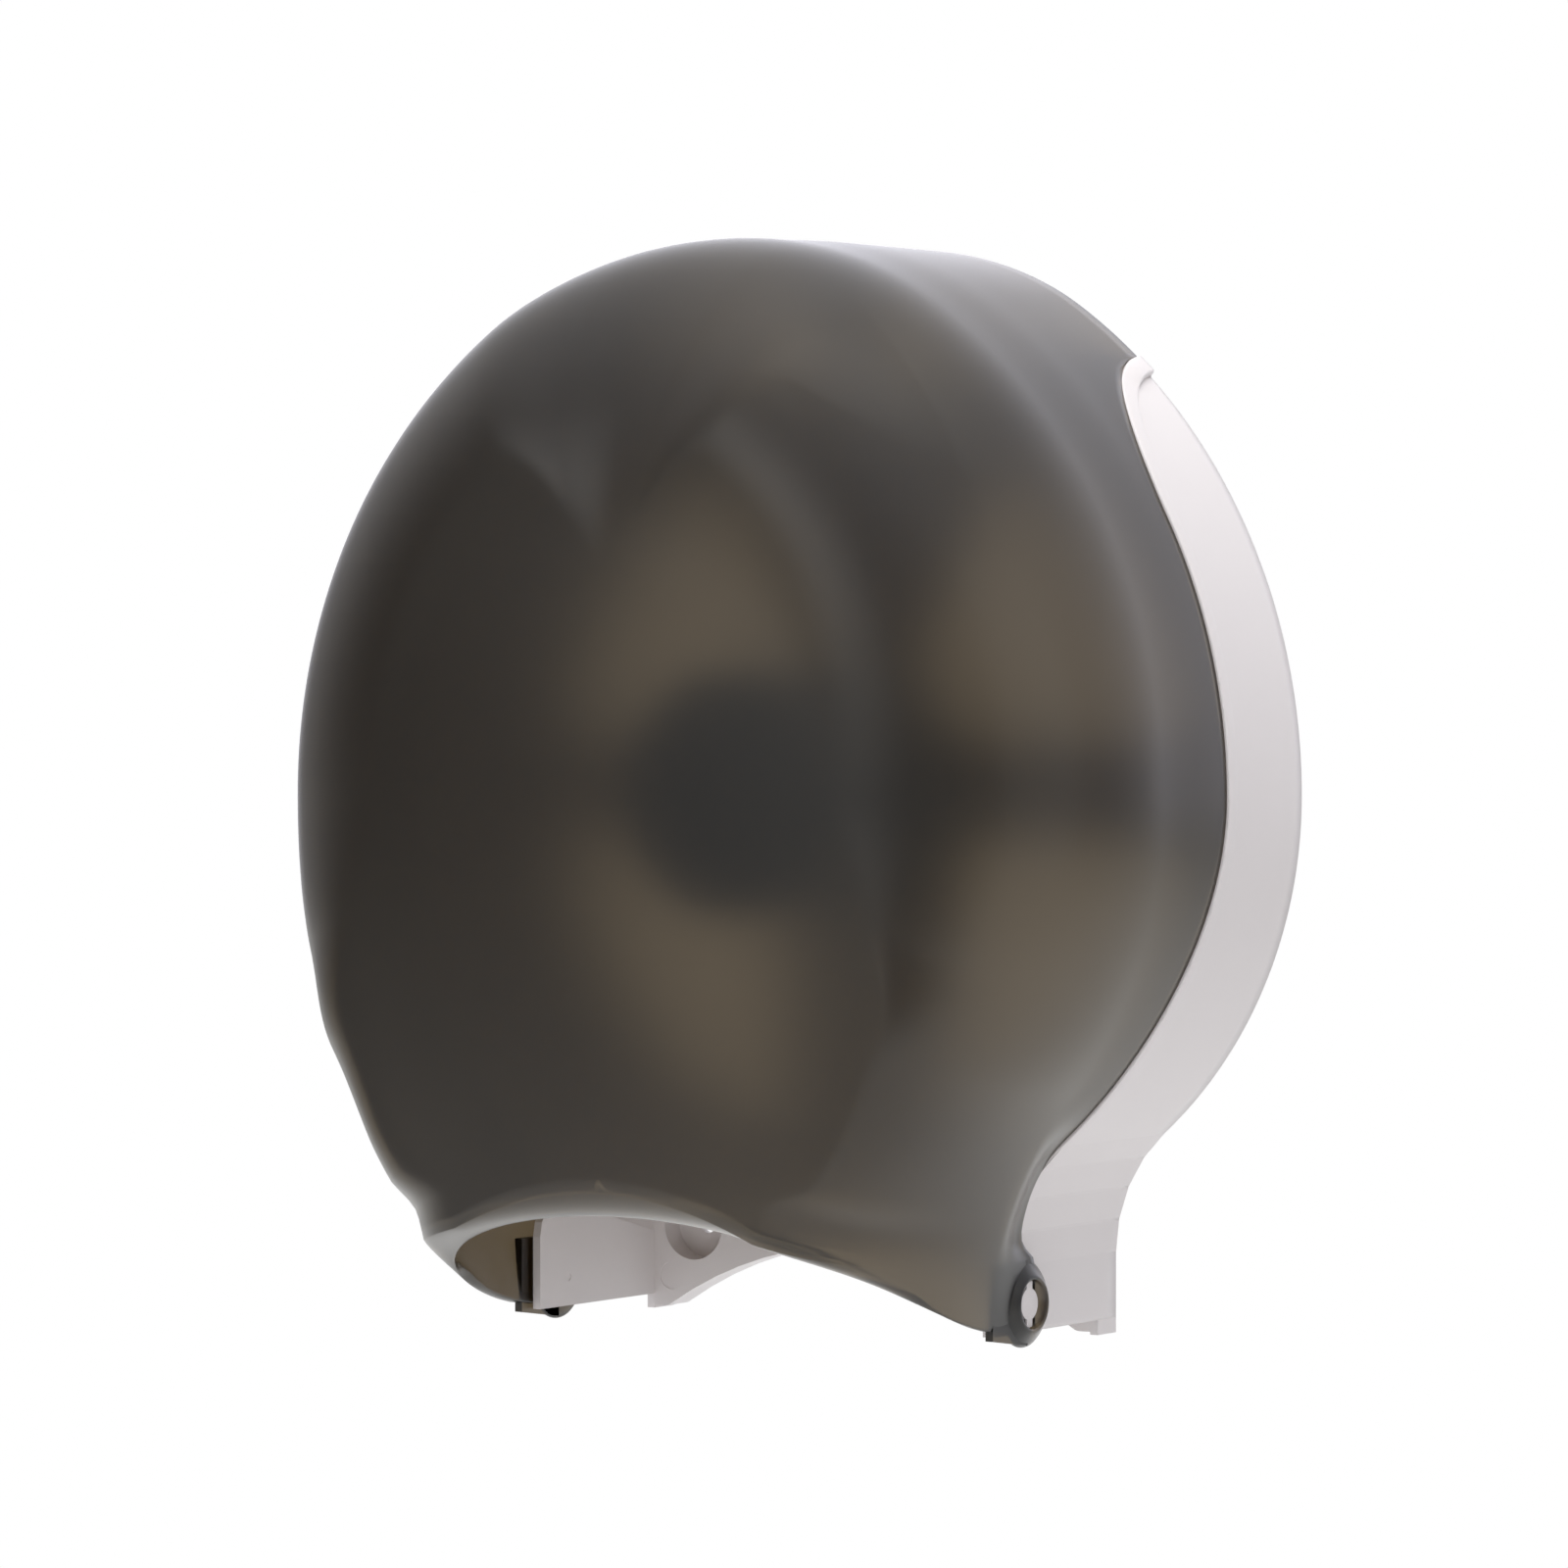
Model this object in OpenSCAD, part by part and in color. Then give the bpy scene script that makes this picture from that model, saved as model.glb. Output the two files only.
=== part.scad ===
// Jumbo toilet roll dispenser for a wall: a white moulded back plate with two legs, a smoke cover
// that swings down on two pins in the legs, and a hub on which the big roll turns.
// The wall is the plane y = 0, the front looks towards -y, and z = 0 is level with the roll's axis.

/* [Outline] */
// Width across the sides at the roll's axis
body_w = 270; // [240:1:300]
// Height of the crown above the roll's axis
top_h = 154.5; // [140:0.5:175]
// Radius of the crown, as a share of that of an ellipse with this width and height
crown_share = 1.102; // [1:0.002:1.3]
// Radius of each side above the roll's axis, as a share of that of the same ellipse
side_share = 0.9332; // [0.85:0.001:1]
// Turn of the crown's arc, as a share of the quarter turn from the top to the side
crown_turn_share = 0.1205; // [0.05:0.001:0.3]
// Radius of each side below the roll's axis
hip_r = 124.5; // [122:0.5:126]
// Radius of the hollow above each leg, at the back
flare_r = 45; // [42:1:46]
// Radius of that hollow in the front of the cover
front_flare_r = 123; // [110:1:140]
// Width across the outside of the legs
leg_w = 152; // [130:1:170]

/* [Back plate] */
// Wall thickness of the back plate
plate_wall = 2.5; // [2:0.1:3]
// Distance from the wall to the front face of the panel
panel_d = 10; // [9:0.5:11]
// Drop from the crown to the panel's straight top edge
crown_rise = 33.5; // [30:0.5:36]
// Depth of the side walls at the roll's axis
rim_d = 41.7; // [39:0.1:43]
// How much deeper the side walls are beside the legs
rim_step = 15.3; // [14:0.1:16]
// Radius where the front edge of the side walls turns back to the wall
rim_corner_r = 46; // [40:1:50]
// Width of the bead along the front edge of the side walls
bead_w = 4.2; // [3.4:0.1:5]
// Height of that bead over the side wall
bead_h = 0.8; // [0.4:0.1:1]
// Drop from the roll's axis to the foot of the wall skirt
skirt_foot = 150.8; // [150.4:0.2:153]
// Drop from the roll's axis to the foot of the panel
panel_foot = 150; // [149:0.2:150.2]
// Drop from the roll's axis to the foot of the legs
leg_foot = 146.6; // [144:0.2:147]
// Depth of the legs from the wall
leg_d = 67.5; // [67:0.1:69]
// Distance from the outside of each leg to the middle of its rounded foot beside the arch
foot_set = 5.91; // [5.5:0.01:12]
// Rise of the top of that arch above the foot of the panel
arch_rise = 20.7; // [19:0.1:22]
// Radius of the rounded feet beside the arch
foot_r = 4; // [3:0.5:5]
// What the panel keeps between the windows and its top edge
window_top_rim = 17; // [14:0.5:24]
// What the panel keeps between the windows and its sides at the roll's axis
window_side_rim = 31; // [20:0.5:40]
// Radius of the solid middle that the windows leave
middle_r = 36; // [34:1:40]
// Half height of the bar between the upper and lower windows
bar_half = 14; // [10:1:17]
// Half width of the bar between the two lower windows
post_bar_half = 27; // [24:1:30]
// Radius of the corners of the windows
window_corner_r = 8; // [4:1:9]
// Thickness of the ribs behind the panel
rib_t = 2; // [1.5:0.1:2.5]

/* [Wall fixing] */
// Distance from the outside of each leg to the screws above and beside it
fix_side = 16; // [15:0.5:20]
// Drop from the panel's top edge to the upper screws
fix_edge = 16; // [15:0.5:17]
// Drop from the roll's axis to the lower screws
fix_low = 126.2; // [125:0.1:127]
// Radius of the screw wells
well_r = 10; // [9:0.1:10.2]
// Radius of the screw holes
fix_hole_r = 2.75; // [2.2:0.05:3.5]

/* [Cover] */
// Depth from the wall to the front of the cover
body_d = 146.8; // [120:0.2:170]
// Wall thickness of the cover
cover_wall = 2.6; // [2.2:0.1:3]
// Depth from the wall where the sides begin to round to the front
round_d = 75.8; // [74:0.2:80]
// How far the front is domed
dome_d = 3; // [1:0.5:5]
// Inward lean of the side walls for each millimetre of depth past the rim
draft = 0.028; // [0.02:0.002:0.04]
// Drop to the cover's lower edge beside the legs
lip_side = 145; // [144:0.5:146]
// Rise of the paper slot's arch in the middle of the front
lip_rise = 32.7; // [30:0.1:34]
// How far the lip of that arch curls back from the front
lip_curl = 10.9; // [8:0.1:13]
// How far the cover's rear edge stands out beside the crown
back_flare = 1.3; // [0.5:0.1:1.6]
// Gap between the cover's edge and the back plate
rim_gap = 0.4; // [0.3:0.05:0.8]
// Gap between the cover and the outside of each leg
leg_gap = 0.4; // [0.35:0.05:0.6]

/* [Cover hinge] */
// Distance from the wall to the hinge
hinge_d = 53.5; // [53:0.1:54.5]
// Drop from the roll's axis to the hinge
hinge_drop = 138.4; // [138:0.1:139]
// Radius of the ears on the cover
ear_r = 12; // [11.5:0.1:12.4]
// How far the cone of an ear stands out of the cover
ear_cone = 2.6; // [2.2:0.1:3]
// Radius of the mouth of that cone
ear_mouth_r = 7.8; // [7.6:0.1:8.4]
// Radius of the pocket for the pin's head
pocket_r = 6.65; // [6.4:0.05:7.2]
// Radius of the pins
pin_r = 4.4; // [4:0.05:4.6]
// Radial running clearance of the pins
pin_play = 0.05; // [0.03:0.01:0.1]
// Width of the two lugs on a pin's head
lug_w = 3; // [2.6:0.1:4]
// Radius of the sink mark behind each pin
sink_r = 1.2; // [0.8:0.1:1.6]

/* [Roll hub] */
// Radius of the hub
hub_r = 34.5; // [34:0.5:36]
// Distance from the wall to the front of the hub
hub_d = 81.5; // [80:0.5:84]
// Wall thickness of the hub
hub_wall = 2.5; // [2:0.1:3]
// Radius of the post
post_r = 10; // [9:0.1:11]
// Radius of the post's flange
flange_r = 29; // [28:0.5:30]
// Thickness of that flange
flange_t = 3; // [2.5:0.1:4]
// Radial running clearance of the bushes
bush_play = 0.05; // [0.03:0.01:0.1]
// Wall thickness of the bushes
bush_t = 2; // [1.5:0.1:2.4]
// Number of ribs in the hub
hub_ribs = 6; // [5:1:8]

/* [Lock] */
// Distance from the wall to the lock
lock_d = 22; // [21:0.5:24]
// Radius of the lock's head
lock_head_r = 11.3; // [11:0.1:12]
// Radius of the lock's threaded body
lock_r = 9.4; // [9:0.1:9.6]
// Length of the lock below its head
lock_len = 21.5; // [20.5:0.5:22]
// Radius of the plug that the key turns
plug_r = 5.5; // [5:0.1:6]
// Length of the cam from the plug's axis
cam_len = 18; // [17:0.5:18.5]
// Width of the cam
cam_w = 11; // [10:0.5:12]
// Thickness of the cam
cam_t = 2; // [1.5:0.1:2.2]
// Thickness of the strike's sheet
strike_t = 2; // [1.5:0.1:2.4]

/* [Hidden] */

// Overrun of every cut
over = 1;
// Clear gap between pieces that lie one on the other and may move
seat_gap = 0.3;
// Clearance round a screw or a fixed plug
screw_play = 0.05;
// Overlap of two shapes of one piece
lap = 0.6;

half_w = body_w / 2;
leg_half = leg_w / 2;
hinge_z = -hinge_drop;

plate_top = top_h - crown_rise;
window_r = min(plate_top - window_top_rim, half_w - window_side_rim);
fix_w = leg_w - 2 * fix_side;
fix_top = plate_top - fix_edge;

// Arcs of the outline: its right half runs from the middle of the crown down to the leg, and each arc is
// tangent to its neighbours. The shoulder's arc joins the end of the crown's arc to the side's.
crown_r = crown_share * half_w * half_w / top_h;
side_r = side_share * top_h * top_h / half_w;
crown_c = [0, top_h - crown_r];
side_c = [half_w - side_r, 0];
hip_c = [half_w - hip_r, 0];
crown_end = 90 * (1 - crown_turn_share);
crown_dir = [cos(crown_end), sin(crown_end)];
crown_tip = crown_c + crown_r * crown_dir;
tip_reach = crown_tip - side_c;
shoulder_r = (side_r * side_r - tip_reach * tip_reach) / (side_r - tip_reach * crown_dir) / 2;
shoulder_c = crown_tip - shoulder_r * crown_dir;
shoulder_end = atan2(shoulder_c[1] - side_c[1], shoulder_c[0] - side_c[0]);

crown_steps = 3;
shoulder_steps = 5;
side_steps = 7;
hip_steps = 7;
flare_steps = 4;

function on_arc(c, r, a) = c + r * [cos(a), sin(a)];
function mix(a, b, t) = a + (b - a) * t;
function flare_drop(leg) = sqrt(pow(hip_r + flare_r, 2) - pow(leg + flare_r - hip_c[0], 2));
function hip_end(leg) = acos((leg + flare_r - hip_c[0]) / (hip_r + flare_r));

// Right half of the outline, pulled in by inset, down to the top of the leg
function half_outline(inset, leg) = concat(
    [for (i = [0 : crown_steps - 1])
        on_arc(crown_c, crown_r - inset, mix(90, crown_end, i / crown_steps))],
    [for (i = [0 : shoulder_steps - 1])
        on_arc(shoulder_c, shoulder_r - inset, mix(crown_end, shoulder_end, i / shoulder_steps))],
    [for (i = [0 : side_steps - 1])
        on_arc(side_c, side_r - inset, mix(shoulder_end, 0, i / side_steps))],
    [for (i = [0 : hip_steps - 1])
        on_arc(hip_c, hip_r - inset, mix(0, -hip_end(leg), i / hip_steps))],
    [for (i = [0 : flare_steps])
        on_arc([leg + flare_r, -flare_drop(leg)], flare_r + inset,
               mix(180 - hip_end(leg), 180, i / flare_steps))]);

// The points of a right half, read back up the left side
function other_side(points) = [for (i = [len(points) - 1 : -1 : 0])
    if (points[i][0] > 0) [-points[i][0], points[i][1]]];

// The outline with straight legs, closed level with the foot
module outline(inset, foot) {
    right = concat(half_outline(inset, leg_half), [[leg_half - inset, -foot]]);
    polygon(concat(right, other_side(right)));
}

// Corner p of a polygon, between a and b, as an arc of radius r
function rounded_corner(a, p, b, r, steps = 5) =
    let (u = (a - p) / norm(a - p), v = (b - p) / norm(b - p))
    let (half = acos(max(-1, min(1, u * v))) / 2)
    let (c = p + (u + v) / norm(u + v) * r / sin(half))
    let (f = p + u * r / tan(half) - c, t = p + v * r / tan(half) - c)
    let (start = atan2(f[1], f[0]), raw = atan2(t[1], t[0]) - start)
    let (turn = raw > 180 ? raw - 360 : raw < -180 ? raw + 360 : raw)
    [for (i = [0 : steps]) on_arc(c, r, start + turn * i / steps)];

// A polygon with each corner rounded
function rounded(points, r, steps = 5) =
    let (n = len(points))
    [for (i = [0 : n - 1])
        each rounded_corner(points[(i + n - 1) % n], points[i], points[(i + 1) % n], r, steps)];

// Stands a flat shape on the wall: the shape's x and y become x and z, and it runs from depth d0 to d1
module from_wall(d0, d1) {
    translate([0, -d0, 0]) rotate([90, 0, 0]) linear_extrude(d1 - d0) children();
}

// Lays a side view across the part, from x0 to x1: the shape's x is the depth and its y is z
module across(x0, x1) {
    translate([x0, 0, 0]) rotate([90, 0, -90]) mirror([0, 0, 1]) linear_extrude(x1 - x0) children();
}

// Turns a profile round the depth axis: its x is the radius and its y the depth
module turned(points) {
    rotate([90, 0, 0]) rotate_extrude($fn = 96) polygon(points);
}

// A round bar along the depth, at x and z
module rod(x, z, d0, d1, r) {
    translate([x, -d0, z]) rotate([90, 0, 0]) cylinder(h = d1 - d0, r = r, $fn = 64);
}

// A round bar along x, at depth d and height z, with radius r that may change to r_end
module cross_rod(x0, x1, d, z, r, r_end = 0) {
    translate([x0, -d, z]) rotate([0, 90, 0])
        cylinder(h = x1 - x0, r1 = r, r2 = r_end > 0 ? r_end : r, $fn = 64);
}

// An upright round bar on the lock's axis
module upright(z0, z1, r) {
    translate([0, -lock_d, z0]) cylinder(h = z1 - z0, r = r, $fn = 64);
}

// A block between two corners that are given as x, depth and z
module block(a, b) {
    translate([a[0], -b[1], a[2]]) cube([b[0] - a[0], b[1] - a[1], b[2] - a[2]]);
}

// Screw with a low head and a cross recess, along the depth. The head's seat is at depth seat.
head_h = 2.2;
head_share = 0.55;
recess_w = 0.9;
recess_share = 0.6;

module screw(x, z, seat, shank_r, shank_len, head_r) {
    difference() {
        union() {
            rod(x, z, seat - shank_len, seat + lap, shank_r);
            rod(x, z, seat, seat + head_h * head_share, head_r);
            translate([x, -seat - head_h * head_share, z]) rotate([90, 0, 0])
                cylinder(h = head_h * (1 - head_share), r1 = head_r, r2 = head_r * (1 - head_share / 2),
                         $fn = 64);
        }
        for (turn = [0, 90])
            translate([x, -seat - head_h * head_share, z]) rotate([90, turn, 0])
                translate([-head_r * recess_share, -recess_w / 2, 0])
                    cube([2 * head_r * recess_share, recess_w, head_h]);
    }
}

// BACK PLATE
// Side view of what the back plate's side walls fill, grown by g
rim_low_z = -100;
rim_steps = 7;
function ease(t) = t * t * (3 - 2 * t);
function rim_at(z) = rim_d + rim_step * ease(max(0, min(1, z / rim_low_z)));
rim_corner_steps = 8;
function rim_line(g) = concat(
    [for (i = [rim_corner_steps : -1 : 1])
        on_arc([rim_d - rim_corner_r, plate_top - rim_corner_r], rim_corner_r + g,
               90 * i / rim_corner_steps)],
    [for (i = [0 : rim_steps]) [rim_at(rim_low_z * i / rim_steps) + g, rim_low_z * i / rim_steps]]);

module rim_side(g) {
    polygon(concat([[rim_d - rim_corner_r - over, -skirt_foot - over]], rim_line(g),
                   [[rim_at(-skirt_foot) + g, -skirt_foot - over]]));
}

// Opening under the panel between the legs, grown by e
foot_x = leg_half - foot_set;
arch_r = (foot_x * foot_x + arch_rise * arch_rise) / arch_rise / 2 - foot_r;
arch_z = arch_rise - panel_foot - arch_r;
foot_z = foot_r - panel_foot;
arch_half = atan2(foot_x, foot_z - arch_z);
foot_steps = 5;
arch_steps = 8;

module arch_opening(e) {
    right = concat(
        [for (i = [arch_steps : -1 : 0])
            on_arc([0, arch_z], arch_r + e, mix(90 - arch_half, 90, i / arch_steps))],
        [for (i = [1 : foot_steps])
            on_arc([foot_x, foot_z], foot_r - e, mix(270 - arch_half, 270, i / foot_steps))],
        [[leg_half, e - panel_foot], [leg_half, -skirt_foot - 2 * over]]);
    polygon(concat(right, other_side(right)));
}

// The four windows are quarters of a ring with round corners. The bar between the upper two widens upwards,
// where it carries the strike.
bar_top_share = 0.44;
window_arc_steps = 5;

function window_points(s, bar_in, bar_out) =
    let (low = asin(bar_half / window_r), high = acos(bar_out / window_r))
    let (inner = sqrt(middle_r * middle_r - bar_half * bar_half))
    let (top = sqrt(middle_r * middle_r - bar_in * bar_in))
    let (a = [inner, bar_half], b = [window_r * cos(low), bar_half])
    let (c = [bar_out, window_r * sin(high)], d = [bar_in, top])
    let (rim = [for (i = [1 : window_arc_steps - 1])
        on_arc([0, 0], window_r, mix(low, high, i / window_arc_steps))])
    let (all = concat(
        rounded_corner(a + [-bar_half, bar_half], a, b, window_corner_r / 4),
        rounded_corner(a, b, rim[0], window_corner_r),
        rim,
        rounded_corner(rim[len(rim) - 1], c, d, window_corner_r),
        rounded_corner(c, d, a, window_corner_r / 4)))
    [for (p = all) [p[0], s * p[1]]];

module windows(e) {
    for (side = [0, 1]) mirror([side, 0]) {
        polygon(window_points(1, post_bar_half / 2, window_r * bar_top_share));
        polygon(window_points(-1, post_bar_half, post_bar_half));
    }
}

// Wells for the wall screws
fix_places = [[-fix_w / 2, fix_top], [fix_w / 2, fix_top], [-fix_w / 2, -fix_low], [fix_w / 2, -fix_low]];
well_floor = 2.2;

// Bosses for the screws of the post and of the strike
post_screw_ring_share = 0.76;
post_screw_r = 1.75;
post_screw_head_r = 3.3;
boss_wall = 2.2;
boss_foot = 1.5;
post_screw_places = [for (a = [45 : 90 : 315]) on_arc([0, 0], flange_r * post_screw_ring_share, a)];
strike_screw_r = 1.5;
strike_screw_head_r = 2.9;

// Tongue of each leg, inside the cover, and the pin moulded on it. The two lugs on the pin's head keep the
// ear of the cover on, except where its keyway meets them.
tongue_h = 38;
tongue_top = tongue_h - leg_foot;
tongue_back = 20;
sink_depth = 0.2;
leg_in = leg_half - plate_wall;

module hinge_pin() {
    lug_reach = pocket_r - seat_gap;
    head_in = pocket_floor + seat_gap;
    head_out = ear_out - pin_recess;
    cross_rod(leg_half - plate_wall / 2, head_out, hinge_d, hinge_z, pin_r);
    intersection() {
        cross_rod(head_in, head_out, hinge_d, hinge_z, lug_reach);
        block([head_in - over, hinge_d - lug_w / 2, hinge_z - pocket_r],
              [head_out + over, hinge_d + lug_w / 2, hinge_z + pocket_r]);
    }
}

upper_rib_x = post_bar_half / 2 - rib_t;
lower_rib_x = post_bar_half - rib_t;
lower_rib_end = arch_z + sqrt(arch_r * arch_r - lower_rib_x * lower_rib_x);

module plate_rib(a, b) {
    from_wall(seat_gap, panel_d - plate_wall + lap)
        translate(a) rotate(atan2(b[1] - a[1], b[0] - a[0]))
        translate([0, -rib_t / 2]) square([norm(b - a), rib_t]);
}

module back_plate() {
    color("whitesmoke") difference() {
        union() {
            // Side walls with the wall skirt, the bead and the panel
            intersection() {
                from_wall(0, leg_d) difference() {
                    outline(0, skirt_foot);
                    outline(plate_wall, skirt_foot + over);
                }
                across(-body_w, body_w) rim_side(0);
                union() {
                    block([-body_w, 0, -skirt_foot], [body_w, panel_d, top_h]);
                    block([-body_w, 0, -leg_foot], [body_w, body_d, top_h]);
                }
            }
            intersection() {
                from_wall(lap, leg_d) difference() {
                    outline(-bead_h, leg_foot);
                    outline(plate_wall / 2, leg_foot + over);
                }
                across(-body_w, body_w) difference() {
                    rim_side(0);
                    rim_side(-bead_w);
                }
                block([-body_w, 0, ear_turn_z + 2 * over], [body_w, body_d, top_h]);
            }
            // Tab where the bead ends at the wall
            intersection() {
                from_wall(0, rim_d - rim_corner_r / 2) difference() {
                    outline(-bead_h - back_flare, leg_foot);
                    outline(plate_wall / 2, leg_foot + over);
                }
                across(-body_w, body_w) difference() {
                    rim_side(0);
                    rim_side(-plate_wall);
                }
                block([-body_w, 0, plate_top - plate_wall], [body_w, body_d, top_h]);
            }
            // The panel and its top edge stay clear of the cover where they stand past the side walls
            intersection() {
                union() {
                    from_wall(panel_d - plate_wall, panel_d) difference() {
                        outline(plate_wall / 2, panel_foot);
                        arch_opening(0);
                    }
                    intersection() {
                        from_wall(0, panel_d - plate_wall / 2) outline(plate_wall / 2, panel_foot);
                        block([-body_w, 0, plate_top - plate_wall], [body_w, panel_d, plate_top]);
                    }
                }
                union() {
                    across(-body_w, body_w) rim_side(0);
                    from_wall(-over, panel_d + over) outline(cover_wall + rim_gap, skirt_foot);
                }
                block([-body_w, 0, -panel_foot], [body_w, panel_d, plate_top]);
            }
            // The wall round the arch
            intersection() {
                from_wall(0, panel_d - plate_wall / 2) difference() {
                    arch_opening(plate_wall);
                    arch_opening(0);
                }
                block([-leg_half + plate_wall / 2, 0, -panel_foot], [leg_half - plate_wall / 2, panel_d, 0]);
            }
            // Tongues of the legs
            for (s = [0, 1]) mirror([s, 0, 0])
                across(leg_half - plate_wall, leg_half) polygon(concat(
                    [[panel_d - plate_wall / 2, -leg_foot],
                     [panel_d - plate_wall / 2, tongue_top - tongue_back]],
                    rounded_corner([hinge_d - tongue_back, tongue_top - tongue_back], [leg_d, tongue_top],
                                   [leg_d, -leg_foot], tongue_back / 2),
                    [[leg_d, -leg_foot]]));
            hinge_pin();
            mirror([1, 0, 0]) hinge_pin();
            // Wells, bosses and ribs behind the panel
            for (p = fix_places) rod(p[0], p[1], 0, panel_d - plate_wall / 2, well_r + rib_t);
            for (p = post_screw_places) rod(p[0], p[1], boss_foot, panel_d - lap, post_screw_r + boss_wall);
            for (p = strike_screw_places)
                rod(p[0], p[1], boss_foot, panel_d - lap, strike_screw_r + boss_wall);
            rod(0, 0, seat_gap, panel_d - lap, post_r);
            for (z = [-bar_half + rib_t, bar_half - rib_t]) for (s = [-1, 1])
                plate_rib([s * (post_r - lap), z], [s * (half_w - plate_wall / 2 - rib_t), z]);
            for (s = [-1, 1]) {
                plate_rib([s * upper_rib_x, 0], [s * upper_rib_x, plate_top - lap]);
                plate_rib([s * lower_rib_x, 0], [s * lower_rib_x, lower_rib_end + rib_t]);
            }
        }
        from_wall(-over, body_d) windows(0);
        for (p = fix_places) {
            rod(p[0], p[1], well_floor, body_d, well_r);
            rod(p[0], p[1], -over, panel_d, fix_hole_r);
        }
        for (p = post_screw_places) rod(p[0], p[1], -over, body_d, post_screw_r + screw_play);
        for (p = strike_screw_places) rod(p[0], p[1], -over, body_d, strike_screw_r + screw_play);
        for (s = [-1, 1])
            cross_rod(s * leg_in - sink_depth, s * leg_in + sink_depth, hinge_d, hinge_z, sink_r);
        // Ring left by the ejector on each foot
        for (s = [-1, 1])
            rod(s * ejector_x, -ejector_drop, panel_d - ejector_depth, panel_d + over, ejector_r);
    }
}

ejector_r = 4;
ejector_edge = 4.5;
ejector_rise = 5.5;
ejector_x = leg_half - ejector_r - ejector_edge;
ejector_drop = leg_foot - ejector_rise;
ejector_depth = 0.2;

// SPINDLE
post_foot_step = 5;
post_foot_r = post_r + post_foot_step;
shoulder_len = 4;
shoulder_d = panel_d + flange_t + shoulder_len;
washer_t = 1;
bush_flange_t = 1.5;
bush_flange_step = 2.4;
bush_flange_r = post_r + bush_t + bush_flange_step;
bush_len = 12;
rear_bush_d = shoulder_d + washer_t + seat_gap;
cap_room = 12;
front_bush_end = hub_d - cap_room;
post_end = front_bush_end + seat_gap;
retaining_screw_r = 2.5;
retaining_screw_len = 16;

module spindle_post() {
    color("gainsboro") difference() {
        union() {
            rod(0, 0, panel_d, panel_d + flange_t, flange_r);
            rod(0, 0, panel_d + lap, shoulder_d, post_foot_r);
            rod(0, 0, panel_d + lap, post_end, post_r);
        }
        for (p = post_screw_places) rod(p[0], p[1], 0, shoulder_d, post_screw_r + screw_play);
        rod(0, 0, post_end - retaining_screw_len - over, post_end + over, retaining_screw_r + screw_play);
    }
}

module post_screws() {
    color("silver") for (p = post_screw_places)
        screw(p[0], p[1], panel_d + flange_t, post_screw_r, panel_d + flange_t - boss_foot - over,
              post_screw_head_r);
}

module ring(d0, d1, r_in, r_out) {
    difference() {
        rod(0, 0, d0, d1, r_out);
        rod(0, 0, d0 - over, d1 + over, r_in);
    }
}

module thrust_washer() {
    color("silver") ring(shoulder_d, shoulder_d + washer_t, post_r + bush_play, post_foot_r - bush_play);
}

retaining_washer_t = 1.5;
retaining_washer_r = bush_flange_r - washer_t;

module retaining_washer() {
    color("silver") ring(post_end, post_end + retaining_washer_t,
                         retaining_screw_r + screw_play, retaining_washer_r);
}

module retaining_screw() {
    color("silver") screw(0, 0, post_end + retaining_washer_t, retaining_screw_r,
                          retaining_washer_t + retaining_screw_len, retaining_screw_r * 2);
}

// HUB
hub_gap = 1.5;
hub_back = panel_d + hub_gap;
sleeve_r = post_r + bush_play + bush_t;
sleeve_wall = 2.4;
sleeve_d0 = rear_bush_d + bush_flange_t;
sleeve_d1 = front_bush_end - bush_flange_t;
cap_t = 2.4;
cap_sink = 0.8;
cap_ledge = 2;
cap_back = hub_d - cap_sink - cap_t;
edge_r = 2;
edge_steps = 4;

module hub_drum() {
    color("dimgray") union() {
        turned(concat(
            [[hub_r - hub_wall, hub_back], [hub_r, hub_back]],
            [for (i = [0 : edge_steps])
                on_arc([hub_r - edge_r, hub_d - edge_r], edge_r, 90 * i / edge_steps)],
            [[hub_r - hub_wall, hub_d], [hub_r - hub_wall, cap_back],
             [hub_r - hub_wall - cap_ledge, cap_back],
             [hub_r - hub_wall - cap_ledge, cap_back - cap_ledge],
             [hub_r - hub_wall, cap_back - 2 * cap_ledge]]));
        turned([[sleeve_r, sleeve_d0], [sleeve_r + sleeve_wall, sleeve_d0],
                [sleeve_r + sleeve_wall, sleeve_d1], [sleeve_r, sleeve_d1]]);
        for (i = [0 : hub_ribs - 1]) rotate([0, 360 * i / hub_ribs, 0])
            block([sleeve_r + sleeve_wall / 2, sleeve_d0 + bush_flange_t, -rib_t / 2],
                  [hub_r - hub_wall / 2, sleeve_d1 - bush_flange_t, rib_t / 2]);
    }
}

module bush(flange_d0, sleeve_from, sleeve_to) {
    difference() {
        union() {
            rod(0, 0, flange_d0, flange_d0 + bush_flange_t, bush_flange_r);
            rod(0, 0, sleeve_from, sleeve_to, sleeve_r);
        }
        rod(0, 0, sleeve_from - 2 * bush_flange_t, sleeve_to + 2 * bush_flange_t, post_r + bush_play);
    }
}

module hub_bush_rear() {
    color("ivory") bush(rear_bush_d, rear_bush_d + lap, rear_bush_d + bush_len);
}

module hub_bush_front() {
    color("ivory") bush(front_bush_end - bush_flange_t, front_bush_end - bush_len, front_bush_end - lap);
}

module hub_cap() {
    cap_r = hub_r - hub_wall - screw_play;
    color("dimgray") turned([[0, cap_back], [cap_r, cap_back], [cap_r, cap_back + cap_t - cap_sink],
                             [cap_r - cap_sink, cap_back + cap_t], [0, cap_back + cap_t]]);
}

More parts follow.
